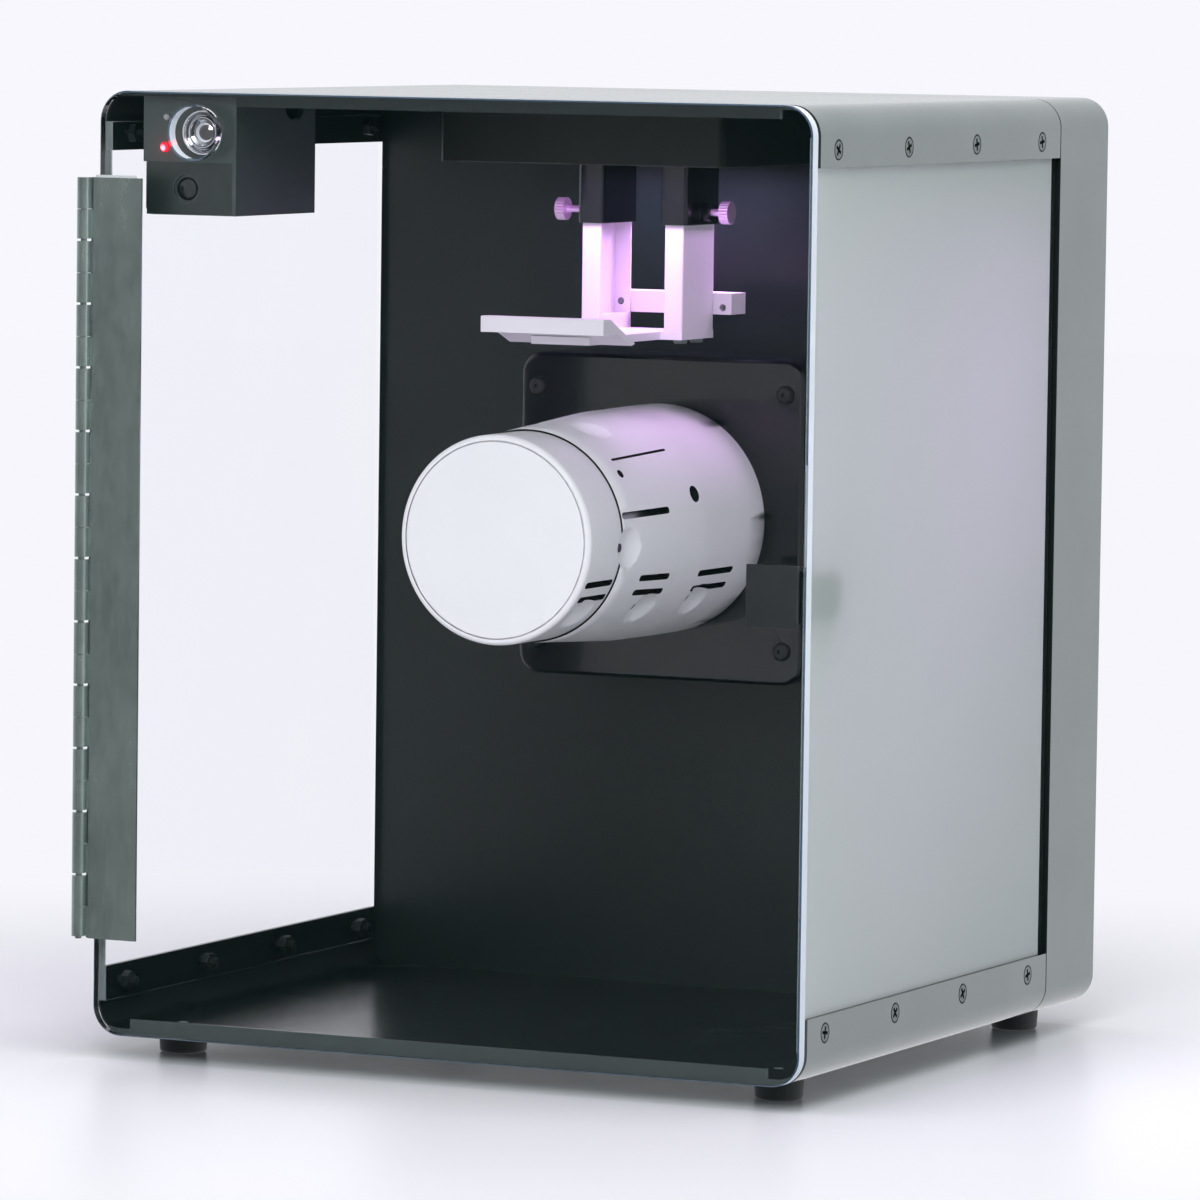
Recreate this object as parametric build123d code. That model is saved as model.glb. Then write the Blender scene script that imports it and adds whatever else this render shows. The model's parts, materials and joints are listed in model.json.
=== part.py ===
from build123d import *
import math
import os

# UV disinfection cabinet, in millimetres with +Z up. It is drawn with x = 0 at the middle of the
# shell, y = 0 at the front edges of the wraps and z = 0 on the floor, and its door faces -Y.
# Every piece is moved at the end so that the origin is the bottom centre of the whole.

# Shell
shell_width = 314.0
shell_height = 378.0
chamber_depth = 243.0
rear_depth = 52.0
shell_corner = 12.0
sheet = 2.0
seam_gap = 0.8
bottom_flange = 26.0
top_flange = 24.0
lip_end = 17.0
bottom_lip = 6.0
top_lip = 5.5
return_flange = 12.0
fit_gap = 0.3

# Side panels and their screws
panel_sheet = 3.0
panel_front_inset = 1.0
panel_rear_inset = 4.5
panel_edge_gap = 0.4
flange_screw_rows = 4
flange_screw_inset = 17.0
flange_screw_rear_inset = 20.0
flange_screw_edge = 6.8
flange_screw_radius = 2.0
flange_screw_head_radius = 4.0
flange_screw_head_height = 2.1
flange_screw_length = 11.0
flange_nut_width = 7.0
flange_nut_height = 3.2
screw_clearance = 0.2
thread_clearance = 0.05
cross_width = 0.9
cross_length = 4.4
cross_depth = 1.2

# Feet
foot_height = 10.0
foot_top_radius = 10.25
foot_bottom_radius = 9.5
foot_edge_round = 1.5
foot_side_inset = 25.0
foot_front_inset = 30.0
foot_rear_inset = 25.0
foot_bore_radius = 5.0
foot_bore_depth = 6.0
foot_screw_radius = 2.0
foot_screw_head_radius = 4.0
foot_screw_head_height = 2.5

# Door and its continuous hinge
door_sheet = 6.0
door_gap = 2.0
door_left_inset = 4.0
door_hole_radius = 10.5
door_edge_round = 0.6
knuckle_count = 24
hinge_bottom_gap = 38.7
hinge_top_gap = 34.5
barrel_radius = 2.75
hinge_pin_radius = 1.3
pin_clearance = 0.06
leaf_sheet = 1.2
leaf_notch = 0.6
knuckle_seam = 0.2
knuckle_gap = 1.0
tape_thickness = 0.4
door_leaf_reach = 25.0
body_leaf_reach = 34.0
door_tape_reach = 22.0
door_tape_edge = 1.0
door_tape_overhang = 1.5

# Magnetic catch
catch_z = 199.0
catch_side_gap = 1.5
catch_width = 20.5
catch_height = 20.6
catch_length = 29.0
catch_front_inset = 1.5
catch_rear_round = 7.5
catch_gap = 0.3
magnet_width = 16.0
magnet_height = 14.0
magnet_length = 9.0
strike_width = 22.0
strike_height = 24.7
strike_sheet = 1.5

# Control box
control_left_inset = 17.5
control_width = 41.7
control_front_inset = 4.0
control_depth = 68.0
control_height = 47.0
control_wall = 2.0
control_face_height = 26.0
lower_plate_left = 1.0
lower_plate_right = 1.5
lower_plate_gap = 0.1
lower_plate_sheet = 2.5
lower_plate_lead = 0.5
lower_plate_chamfer = 2.5
lower_plate_tab = 5.0
lower_plate_tab_sheet = 1.5
cable_notch_y = 54.0
cable_notch_width = 16.0
cable_notch_depth = 9.0
button_drop = 14.0
button_side_inset = 13.6
bezel_radius = 9.0
bezel_lead = 4.0
bezel_ring = 1.2
barrel_thread_radius = 8.0
barrel_length = 24.0
barrel_gap = 0.1
cap_radius = 6.25
cap_clearance = 0.3
cap_length = 6.0
cap_recess = 0.3
cap_dish = 0.9
cap_dish_offset = 0.2
cap_edge_round = 0.4
cap_travel = 2.0
cap_floor_gap = 0.6
button_nut_width = 20.0
button_nut_height = 3.0
lamp_side_inset = 9.7
lamp_radius = 2.0
lamp_drop = 20.1
small_lamp_radius = 1.3
small_lamp_drop = 8.2
small_lamp_shift = 0.6
lamp_body_length = 11.0
lamp_dome = 1.0
lower_button_side_inset = 19.2
lower_button_drop = 36.6
lower_recess_radius = 5.65
lower_recess_depth = 1.0
dome_radius = 4.35
dome_clearance = 0.3
dome_lead = 1.2
dome_round = 1.0
dome_flange_radius = 5.4
dome_flange_height = 1.5
dome_travel = 1.5
stem_radius = 2.5
stem_length = 17.0
board_sheet = 1.6
board_y = 36.0
board_slot_rib = 1.5
board_slot_depth = 2.0
board_edge_gap = 0.2
switch_block = 7.0

# Screws up into the ceiling
ceiling_screw_radius = 1.5
ceiling_screw_bite = 1.6
ceiling_head_radius = 2.8
ceiling_head_height = 1.8
ceiling_flange = 2.0

# Lamp box below the ceiling
lamp_box_width = 126.6
lamp_box_front_gap = 127.0
lamp_box_rear_gap = 10.0
lamp_box_height = 26.0
lamp_box_wall = 1.5
lamp_box_corner = 3.0
lamp_flange_reach = 9.0
window_width = 100.0
window_sheet = 3.0
window_overlap = 3.0
front_window_inset = 6.0
front_window_length = 36.0
rear_window_inset = 6.0
rear_window_length = 18.0
lamp_board_lift = 11.0
lamp_ledge_width = 3.0
lamp_ledge_height = 1.5
lamp_board_margin = 3.0
lamp_chip = 3.5
lamp_chip_height = 1.4
lamp_chip_columns = 8
lamp_chip_pitch = 12.0

# Height-adjustable hanger
hanger_wall_gap = 60.35
tube_width = 11.8
tube_depth = 34.1
tube_half_spacing = 18.7
tube_wall = 1.5
tube_corner = 2.5
tube_drop = 25.3
tube_flange_reach = 9.0
tube_hole_gap = 0.5
slide_clearance = 0.2
bar_wall = 1.6
bar_top_gap = 3.0
bar_foot = 6.0
crosspiece_width = 62.0
crosspiece_depth = 14.0
crosspiece_height = 8.8
crosspiece_lift = 6.4
crosspiece_hole_radius = 1.5
crosspiece_hole_x = 27.0
crosspiece_hole_depth = 6.0
crosspiece_hole_lift = 2.8
hanger_screw_radius = 1.5
hanger_screw_head_radius = 2.8
hanger_screw_head_height = 1.8
hanger_screw_length = 8.0
arm_sheet = 3.2
arm_width = 26.0
arm_drop = 95.0
tongue_width = 54.6
tongue_reach = 99.65
tongue_lip_length = 6.4
tongue_lip_height = 6.4
tongue_lip_rise = 8.2
tongue_heel = 13.5
tongue_tail = 30.0
boss_radius = 3.65
boss_length = 4.0
boss_lift = 5.1
thumb_shank_radius = 1.5
thumb_shank_length = 10.4
thumb_head_radius = 4.7
thumb_head_length = 4.0
thumb_knurls = 24
thumb_knurl_depth = 0.35
thumb_tip_gap = 0.1
left_thumb_backed_off = 3.6
slide_up = 24.0

# Base box and round lamp pod on the back wall
arm_base_gap = 8.35
base_width = 129.0
base_height = 134.3
base_depth = 45.5
base_corner = 9.0
base_edge_round = 2.0
base_wall = 2.5
base_front_wall = 3.0
base_boss_radius = 5.0
base_screw_inset = 8.3
base_screw_height_inset = 14.2
base_screw_radius = 2.0
base_head_radius = 3.8
base_head_height = 2.2
base_socket_radius = 1.25
base_socket_depth = 1.5
wire_hole_radius = 8.0
pod_length = 155.0
cap_seam_y = 29.0
pod_front_radius = 42.0
pod_seam_step = 0.8
pod_waist_radius = 47.0
pod_rear_radius = 47.5
pod_waist_length = 56.5
pod_shoulder_length = 16.5
pod_shoulder_round = 40.0
pod_wall = 4.5
pod_end_wall = 3.0
pod_front_round = 2.0
pod_seam_radius = 39.6
pod_seam_width = 0.5
pod_seam_depth = 0.6
spigot_length = 4.5
spigot_wall = 1.8
spigot_gap = 0.2
scoop_radius = 17.0
scoop_depth = 3.1
led_radius = 1.75
led_lead = 0.6
led_forward = 4.0
led_clearance = 0.1
slot_height = 2.8
thin_slot_height = 1.2
port_radius = 3.5
core_radius = 34.0
core_wall = 2.5
core_front_gap = 6.0
core_flange_radius = 37.0
core_flange_sheet = 2.0
fan_depth = 15.5
fan_wall_gap = 0.3
fan_bore_radius = 35.0
fan_blade_radius = 34.0
fan_hub_radius = 12.0
fan_hub_gap = 0.6
fan_plate = 3.0
fan_strut_width = 4.0
fan_blades = 7
fan_blade_chord = 10.0
fan_blade_sheet = 1.2
fan_blade_angle = 38.0
fan_rotor_depth = 9.0
fan_shaft_radius = 1.5
fan_shaft_clearance = 0.05
fan_front_gap = 1.5
pod_screw_ring = 38.75
pod_screw_radius = 1.5
pod_screw_length = 12.0
pod_head_radius = 2.8
pod_head_height = 1.8

# Features of the pod's right side, at an angle from +X towards +Z and depths behind its front
scoop_places = ((71.4, 56.9), (36.1, 45.5), (-4.4, 33.6), (-44.0, 14.5), (-42.5, 65.8), (-38.7, 109.5))
vents = (
    (-23.5, (3.5, 28.0)),
    (-32.6, (3.5, 28.0)),
    (-22.0, (49.0, 74.0)),
    (-30.6, (49.0, 74.0)),
    (-22.0, (99.0, 131.5)),
    (-30.6, (99.0, 131.5)),
)
long_slot_angle = 12.9
long_slot_span = (29.8, 69.2)
thin_slot_angle = 45.2
thin_slot_span = (42.4, 88.6)
port_angle = 19.0
port_depth = 93.0

# Rear compartment
cover_sheet = 1.5
cover_screw_inset = 6.0
cover_screw_radius = 1.5
cover_head_radius = 2.8
cover_head_height = 1.8
cover_screw_length = 6.0
cover_slot_length = 40.0
cover_slot_height = 3.0
cover_slot_rows = 7
cover_slot_pitch = 8.0
cover_slot_z = 300.0
cover_slot_x = 60.0
supply_width = 99.0
supply_height = 97.0
supply_depth = 30.0
supply_side_inset = 97.0
supply_z = 90.0
supply_lid = 1.0
supply_slots = 8
supply_slot_pitch = 9.0
inlet_side_inset = 57.0
inlet_z = 60.0
inlet_flange_width = 31.0
inlet_flange_height = 25.0
inlet_flange_sheet = 2.0
inlet_body_width = 27.0
inlet_body_height = 19.8
inlet_body_chamfer = 4.5
inlet_depth = 18.0
inlet_wall = 1.5
inlet_pin_length = 12.0
inlet_pin_width = 2.0
inlet_pin_height = 4.0
inlet_pin_spacing = 7.0
inlet_pin_drop = 2.0
cutout_gap = 0.2
rocker_rise = 29.0
rocker_flange_width = 21.0
rocker_flange_height = 15.0
rocker_flange_sheet = 2.0
rocker_body_width = 19.0
rocker_body_height = 13.0
rocker_body_depth = 14.0
rocker_wall = 1.2
rocker_gap = 0.4
rocker_tilt = 9.0
rocker_axle_depth = 4.0
rocker_axle_radius = 1.0
rocker_axle_clearance = 0.08
rocker_lift = 1.6
rocker_keel_half = 3.0
rocker_keel_drop = 2.2
rocker_dish = 1.2
driver_board_width = 110.0
driver_board_height = 80.0
driver_board_side_inset = 95.0
driver_board_drop = 88.0
driver_parts = ((-0.3, 22.0, 28.0, 14.0), (0.0, 16.0, 16.0, 12.0), (0.3, 24.0, 12.0, 9.0))
standoff_radius = 3.0
standoff_height = 8.0
standoff_inset = 5.0
peg_radius = 1.4
lead_radius = 2.5
lead_drop = 20.0
lead_in = 18.0
lead_bends = (8.0, 12.0, 14.0, 10.0)

# Places worked out from the sizes above
left_x = -shell_width / 2
right_x = shell_width / 2
bottom_z = foot_height
top_z = foot_height + shell_height
floor_z = bottom_z + sheet
ceiling_z = top_z - sheet
wall_y = chamber_depth - sheet / 2
wall_back_y = wall_y + sheet
rear_y = chamber_depth + rear_depth
panel_face_x = right_x - sheet
panel_inner_x = panel_face_x - panel_sheet
bottom_flange_z = bottom_z + bottom_flange
top_flange_z = top_z - top_flange
door_back_y = -door_gap
door_front_y = door_back_y - door_sheet
door_left_x = left_x + door_left_inset
hinge_x = -panel_face_x - tape_thickness - barrel_radius
hinge_y = door_front_y - tape_thickness - barrel_radius
hinge_bottom_z = bottom_z + hinge_bottom_gap
hinge_top_z = top_z - hinge_top_gap
knuckle_pitch = (hinge_top_z - hinge_bottom_z) / knuckle_count
control_left_x = left_x + control_left_inset
control_right_x = control_left_x + control_width
control_back_y = control_front_inset + control_depth
control_bottom_z = ceiling_z - control_height
control_step_z = ceiling_z - control_face_height
lower_plate_y = control_front_inset + lower_plate_lead
lower_plate_back_y = lower_plate_y + lower_plate_sheet
button_x = control_right_x - button_side_inset
button_z = ceiling_z - button_drop
lower_button_x = control_left_x + lower_button_side_inset
lower_button_z = ceiling_z - lower_button_drop
catch_right_x = panel_inner_x
catch_x = catch_right_x - catch_side_gap - catch_width / 2
inlet_x = left_x + inlet_side_inset
driver_board_x = left_x + driver_board_side_inset
driver_board_z = top_z - driver_board_drop
supply_x = right_x - supply_side_inset
base_front_y = wall_y - base_depth
pod_front_y = base_front_y - pod_length
cap_end_y = pod_front_y + cap_seam_y
pod_waist_y = pod_length - pod_waist_length
pod_shoulder_y = pod_length - pod_shoulder_length
hanger_y = wall_y - hanger_wall_gap
lamp_box_front_y = wall_y - lamp_box_front_gap
lamp_box_back_y = wall_y - lamp_box_rear_gap
lamp_box_z = ceiling_z - lamp_box_height
tube_bottom_z = lamp_box_z - tube_drop
arm_top_z = ceiling_z - arm_drop
arm_bottom_z = arm_top_z - arm_sheet
pod_z = arm_bottom_z - arm_base_gap - base_height / 2
bar_width = tube_width - 2 * (tube_wall + slide_clearance)
bar_depth = tube_depth - 2 * (tube_wall + slide_clearance)
bar_top_z = ceiling_z - slide_up - bar_top_gap
bar_back_y = hanger_y + bar_depth / 2
crosspiece_z = arm_top_z + crosspiece_lift
clamp_z = tube_bottom_z + boss_lift
rocker_z = inlet_z + rocker_rise

pieces = {}


def keep(name, *shapes):
    """Store the solids of one node."""
    pieces[name] = [solid for shape in shapes for solid in shape.solids()]


def block(x0, x1, y0, y1, z0, z1):
    """Box between two corners."""
    return Pos((x0 + x1) / 2, (y0 + y1) / 2, (z0 + z1) / 2) * Box(x1 - x0, y1 - y0, z1 - z0)


def rounded(x0, x1, z0, z1, radius):
    """Rectangle with round corners between two corners."""
    return Pos((x0 + x1) / 2, (z0 + z1) / 2) * RectangleRounded(x1 - x0, z1 - z0, radius)


def slab_x(sketch, x0, x1):
    """Sketch of y and z, carried from x0 to x1."""
    plane = Plane(origin=(x0, 0, 0), x_dir=(0, 1, 0), z_dir=(1, 0, 0))
    return extrude(plane * sketch, amount=x1 - x0)


def slab_y(sketch, y0, y1):
    """Sketch of x and z, carried from y0 to y1."""
    plane = Plane(origin=(0, y0, 0), x_dir=(1, 0, 0), z_dir=(0, -1, 0))
    return extrude(plane * sketch, amount=y0 - y1)


def slab_z(sketch, z0, z1):
    """Sketch of x and y, carried from z0 to z1."""
    return extrude(Pos(0, 0, z0) * sketch, amount=z1 - z0)


def rod_x(y, z, radius, x0, x1):
    """Cylinder along X."""
    return Pos((x0 + x1) / 2, y, z) * Rot(0, 90, 0) * Cylinder(radius, x1 - x0)


def rod_y(x, z, radius, y0, y1):
    """Cylinder along Y."""
    return Pos(x, (y0 + y1) / 2, z) * Rot(90, 0, 0) * Cylinder(radius, y1 - y0)


def rod_z(x, y, radius, z0, z1):
    """Cylinder along Z."""
    return Pos(x, y, (z0 + z1) / 2) * Cylinder(radius, z1 - z0)


def aim(shape, point, direction):
    """Shape drawn along +Z, carried to a point and turned to a direction."""
    return Plane(origin=point, z_dir=direction).location * shape


def mirrored(shape):
    """The same shape on the other side of x = 0."""
    return mirror(shape, about=Plane.YZ)


def cross_recess(top):
    """Cross recess cut down from a height."""
    bar = Pos(0, 0, top - cross_depth / 2) * Box(cross_length, cross_width, cross_depth)
    return bar + Rot(0, 0, 90) * bar


def flat_screw(radius, length, head_radius, head_height):
    """Countersunk cross-head screw: its head is flush with z = 0 and its shank goes down."""
    head = Pos(0, 0, -head_height / 2) * Cone(radius, head_radius, head_height)
    shank = Pos(0, 0, -length / 2) * Cylinder(radius, length)
    return head + shank - cross_recess(0)


def pan_screw(radius, length, head_radius, head_height):
    """Pan-head cross screw: its head sits on z = 0 and its shank goes down."""
    head = Pos(0, 0, head_height / 2) * Cylinder(head_radius, head_height)
    head = fillet(head.edges().group_by(Axis.Z)[-1], head_height * 0.6)
    shank = Pos(0, 0, -length / 2) * Cylinder(radius, length)
    return head + shank - cross_recess(head_height)


def hex_nut(width, height, bore_radius):
    """Hexagon nut standing on z = 0."""
    body = extrude(RegularPolygon(width / 2, 6, major_radius=False), amount=height)
    return body - Pos(0, 0, height / 2) * Cylinder(bore_radius, height)


def flange_screw_places():
    """Side, y and z of every countersunk side screw."""
    span = chamber_depth - flange_screw_inset - flange_screw_rear_inset
    rows = [flange_screw_inset + span * i / (flange_screw_rows - 1) for i in range(flange_screw_rows)]
    heights = (bottom_flange_z - flange_screw_edge, top_flange_z + flange_screw_edge)
    return [(side, y, z) for side in (-1, 1) for z in heights for y in rows]


def foot_places():
    """x and y of the four feet."""
    rows = (foot_front_inset, rear_y - foot_rear_inset)
    return [(side * (right_x - foot_side_inset), y) for side in (-1, 1) for y in rows]


def ceiling_screw_places():
    """x and y of every screw that holds something to the ceiling."""
    control_y = control_back_y - control_wall - ceiling_head_radius * 2
    control = [(control_left_x + control_width * share, control_y) for share in (0.25, 0.75)]
    lamp_x = lamp_box_width / 2 - lamp_flange_reach / 2
    rows = (lamp_box_front_y + lamp_flange_reach, lamp_box_back_y - lamp_flange_reach)
    lamp = [(side * lamp_x, y) for side in (-1, 1) for y in rows]
    reach = tube_depth / 2 + tube_flange_reach / 2
    tubes = [(side * tube_half_spacing, hanger_y + end * reach) for side in (-1, 1) for end in (-1, 1)]
    return control + lamp + tubes


def shell_band(y0, y1):
    """Closed band of the shell's outline."""
    outer = rounded(left_x, right_x, bottom_z, top_z, shell_corner)
    inner_corner = shell_corner - sheet
    inner = rounded(left_x + sheet, right_x - sheet, floor_z, ceiling_z, inner_corner)
    return slab_y(outer - inner, y0, y1)


def make_wraps():
    """Lower and upper bent wraps with their side flanges and front lips."""
    band = shell_band(0, chamber_depth - seam_gap / 2)
    tray = band & block(left_x, right_x, 0, chamber_depth, bottom_z, bottom_flange_z)
    top = band & block(left_x, right_x, 0, chamber_depth, top_flange_z, top_z)
    lip_x = right_x - lip_end
    tray += block(-lip_x, lip_x, 0, sheet, bottom_z, bottom_z + bottom_lip)
    lip_left_x = control_right_x + sheet
    top += block(lip_left_x, lip_x, 0, sheet, top_z - top_lip, top_z)
    sink = Cone(
        flange_screw_radius + screw_clearance,
        flange_screw_head_radius + screw_clearance,
        flange_screw_head_height,
    )
    hole = Cylinder(flange_screw_radius + screw_clearance, 4 * sheet)
    for side, y, z in flange_screw_places():
        cutter = hole + Pos(0, 0, -flange_screw_head_height / 2) * sink
        cut = aim(cutter, (side * right_x, y, z), (side, 0, 0))
        tray -= cut
        top -= cut
    for x, y in foot_places():
        tray -= rod_z(x, y, foot_screw_radius + thread_clearance, bottom_z - sheet, floor_z + sheet)
    for x, y in ceiling_screw_places():
        thread = ceiling_screw_radius + thread_clearance
        top -= rod_z(x, y, thread, ceiling_z - sheet, ceiling_z + ceiling_screw_bite)
    keep("bottom_tray", tray)
    keep("top_wrap", top)


def make_rear_shell():
    """Rear band with a return flange that carries the cover."""
    front_y = chamber_depth + seam_gap / 2
    band = shell_band(front_y, rear_y)
    flange_back_y = rear_y - cover_sheet
    inner = rounded(left_x + sheet, right_x - sheet, floor_z, ceiling_z, shell_corner - sheet)
    inset = sheet + return_flange
    opening = rounded(left_x + inset, right_x - inset, bottom_z + inset, top_z - inset, sheet)
    shell = band + slab_y(inner - opening, flange_back_y - sheet, flange_back_y)
    for x, z in cover_screw_places():
        shell -= rod_y(x, z, cover_screw_radius + thread_clearance, flange_back_y - 2 * sheet, rear_y)
    for x, y in foot_places():
        shell -= rod_z(x, y, foot_screw_radius + thread_clearance, bottom_z - sheet, floor_z + sheet)
    keep("rear_shell", shell)


def base_screw_places():
    """x and z of the base box's four screws."""
    x = base_width / 2 - base_screw_inset
    z = base_height / 2 - base_screw_height_inset
    return [(side * x, pod_z + end * z) for side in (-1, 1) for end in (-1, 1)]


def board_corner_places():
    """x and z of the driver board's standoffs."""
    x = driver_board_width / 2 - standoff_inset
    z = driver_board_height / 2 - standoff_inset
    return [(driver_board_x + side * x, driver_board_z + end * z) for side in (-1, 1) for end in (-1, 1)]


def make_back_wall():
    """Inner back wall that straddles the seam, with the driver board's standoffs."""
    outline = rounded(left_x + sheet, right_x - sheet, floor_z, ceiling_z, shell_corner - sheet)
    wall = slab_y(outline, wall_y, wall_back_y)
    for x, z in base_screw_places():
        wall -= rod_y(x, z, base_screw_radius + thread_clearance, wall_y - sheet, wall_back_y + sheet)
    wall -= rod_y(0, pod_z, wire_hole_radius, wall_y - sheet, wall_back_y + sheet)
    for x, z in board_corner_places():
        wall += rod_y(x, z, standoff_radius, wall_back_y, wall_back_y + standoff_height)
        peg_end = wall_back_y + standoff_height + 2 * board_sheet
        wall += rod_y(x, z, peg_radius, wall_back_y + standoff_height, peg_end)
    keep("back_wall", wall)


def cover_screw_places():
    """x and z of the cover's six screws."""
    x = right_x - sheet - cover_screw_inset
    low = floor_z + cover_screw_inset
    high = ceiling_z - cover_screw_inset
    corner = shell_corner - sheet
    rows = (low + corner, (low + high) / 2, high - corner)
    return [(side * x, z) for side in (-1, 1) for z in rows]


def make_back_cover():
    """Rear cover with air slots and the cut-outs of the mains parts."""
    gap = sheet + fit_gap
    outline = rounded(left_x + gap, right_x - gap, bottom_z + gap, top_z - gap, shell_corner - gap)
    cover = slab_y(outline, rear_y - cover_sheet, rear_y)
    slot = SlotOverall(cover_slot_length, cover_slot_height)
    first = -(cover_slot_rows - 1) / 2
    inner_y = rear_y - 2 * cover_sheet
    outer_y = rear_y + cover_sheet
    for side in (-1, 1):
        for i in range(cover_slot_rows):
            z = cover_slot_z + (first + i) * cover_slot_pitch
            cover -= slab_y(Pos(side * cover_slot_x, z) * slot, inner_y, outer_y)
    cover -= slab_y(inlet_outline(cutout_gap), inner_y, outer_y)
    half_width = rocker_body_width / 2 + cutout_gap
    half_height = rocker_body_height / 2 + cutout_gap
    cover -= block(
        inlet_x - half_width,
        inlet_x + half_width,
        inner_y,
        outer_y,
        rocker_z - half_height,
        rocker_z + half_height,
    )
    screw = pan_screw(cover_screw_radius, cover_screw_length, cover_head_radius, cover_head_height)
    screws = []
    for x, z in cover_screw_places():
        cover -= rod_y(x, z, cover_screw_radius + screw_clearance, inner_y, outer_y)
        screws.append(aim(screw, (x, rear_y, z), (0, 1, 0)))
    keep("back_cover", cover)
    keep("cover_screws", *screws)


def make_side_panels():
    """Clear side panels inside the flanges, with their screws and nuts."""
    panel = block(
        panel_inner_x,
        panel_face_x,
        panel_front_inset,
        chamber_depth - panel_rear_inset,
        bottom_z + shell_corner + panel_edge_gap,
        top_z - shell_corner - panel_edge_gap,
    )
    panels = {1: panel, -1: mirrored(panel)}
    screw = flat_screw(
        flange_screw_radius, flange_screw_length, flange_screw_head_radius, flange_screw_head_height
    )
    nut = hex_nut(flange_nut_width, flange_nut_height, flange_screw_radius + thread_clearance)
    hole_radius = flange_screw_radius + screw_clearance
    screws = []
    nuts = []
    for side, y, z in flange_screw_places():
        panels[side] -= rod_x(y, z, hole_radius, side * right_x - 4 * sheet, side * right_x + 4 * sheet)
        screws.append(aim(screw, (side * right_x, y, z), (side, 0, 0)))
        nuts.append(aim(nut, (side * panel_inner_x, y, z), (-side, 0, 0)))
    keep("side_panel_right", panels[1])
    keep("side_panel_left", panels[-1])
    keep("flange_screws", *screws)
    keep("flange_nuts", *nuts)


def make_feet():
    """Rubber feet and the screws that hold them."""
    foot = Pos(0, 0, foot_height / 2) * Cone(foot_bottom_radius, foot_top_radius, foot_height)
    foot = fillet(foot.edges().group_by(Axis.Z)[0], foot_edge_round)
    foot -= rod_z(0, 0, foot_bore_radius, 0, foot_bore_depth)
    foot -= rod_z(0, 0, foot_screw_radius + screw_clearance, 0, foot_height)
    shank = foot_height - foot_bore_depth + sheet
    screw = pan_screw(foot_screw_radius, shank, foot_screw_head_radius, foot_screw_head_height)
    places = foot_places()
    keep("feet", *[Pos(x, y, 0) * foot for x, y in places])
    keep("foot_screws", *[aim(screw, (x, y, foot_bore_depth), (0, 0, -1)) for x, y in places])


def make_door():
    """Clear door plate with the button hole."""
    outline = rounded(door_left_x, right_x, bottom_z, top_z, shell_corner)
    outline -= Pos(button_x, button_z) * Circle(door_hole_radius)
    door = slab_y(outline, door_front_y, door_back_y)
    outer = door.faces().filter_by(Axis.Y)
    door = chamfer(outer.edges(), door_edge_round)
    keep("door_panel", door)


def knuckle_span(index):
    """Bottom and top of one knuckle, counted from the top."""
    top = hinge_top_z - index * knuckle_pitch
    space = knuckle_gap if index % 2 else knuckle_seam
    return top - knuckle_pitch + space, top


def make_leaf(first, along_door):
    """One hinge leaf: a plate and every second knuckle, from the first one."""
    bore = hinge_pin_radius + pin_clearance
    strip = barrel_radius + leaf_notch
    if along_door:
        leaf = block(
            hinge_x + strip,
            hinge_x + door_leaf_reach,
            hinge_y + barrel_radius - leaf_sheet,
            hinge_y + barrel_radius,
            hinge_bottom_z,
            hinge_top_z,
        )
    else:
        leaf = block(
            hinge_x + barrel_radius - leaf_sheet,
            hinge_x + barrel_radius,
            hinge_y + strip,
            hinge_y + body_leaf_reach,
            hinge_bottom_z,
            hinge_top_z,
        )
    for index in range(first, knuckle_count, 2):
        z0, z1 = knuckle_span(index)
        leaf += rod_z(hinge_x, hinge_y, barrel_radius, z0, z1)
        near = barrel_radius - leaf_sheet
        far = barrel_radius
        if along_door:
            leaf += block(hinge_x, hinge_x + strip, hinge_y + near, hinge_y + far, z0, z1)
        else:
            leaf += block(hinge_x + near, hinge_x + far, hinge_y, hinge_y + strip, z0, z1)
    return leaf - rod_z(hinge_x, hinge_y, bore, hinge_bottom_z, hinge_top_z)


def make_hinge():
    """Continuous hinge: two leaves, the pin and the bonding strips."""
    keep("hinge_body_leaf", make_leaf(0, False))
    keep("hinge_door_leaf", make_leaf(1, True))
    keep("hinge_pin", rod_z(hinge_x, hinge_y, hinge_pin_radius, hinge_bottom_z, hinge_top_z))
    door_tape = block(
        door_left_x - door_tape_overhang,
        hinge_x + door_tape_reach,
        door_front_y - tape_thickness,
        door_front_y,
        hinge_bottom_z,
        hinge_top_z + door_tape_edge,
    )
    body_tape = block(
        -panel_face_x - tape_thickness,
        -panel_face_x,
        panel_front_inset,
        hinge_y + body_leaf_reach,
        hinge_bottom_z,
        hinge_top_z,
    )
    keep("hinge_tape_door", door_tape)
    keep("hinge_tape_body", body_tape)


def make_catch():
    """Magnetic catch on the right panel and its strike on the door."""
    x0 = catch_x - catch_width / 2
    profile = Pos(catch_front_inset + catch_length / 2, catch_z) * Rectangle(catch_length, catch_height)
    body = slab_x(profile, x0, catch_right_x)
    rear_edges = body.edges().filter_by(Axis.X).group_by(Axis.Y)[-1]
    body = fillet(rear_edges, catch_rear_round)
    magnet_y = door_back_y + strike_sheet + catch_gap
    magnet = block(
        catch_x - magnet_width / 2,
        catch_x + magnet_width / 2,
        magnet_y,
        magnet_y + magnet_length,
        catch_z - magnet_height / 2,
        catch_z + magnet_height / 2,
    )
    strike = block(
        catch_x - strike_width / 2,
        catch_x + strike_width / 2,
        door_back_y,
        door_back_y + strike_sheet,
        catch_z - strike_height / 2,
        catch_z + strike_height / 2,
    )
    keep("catch_body", body - magnet)
    keep("catch_magnet", magnet)
    keep("catch_strike", strike)


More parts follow.
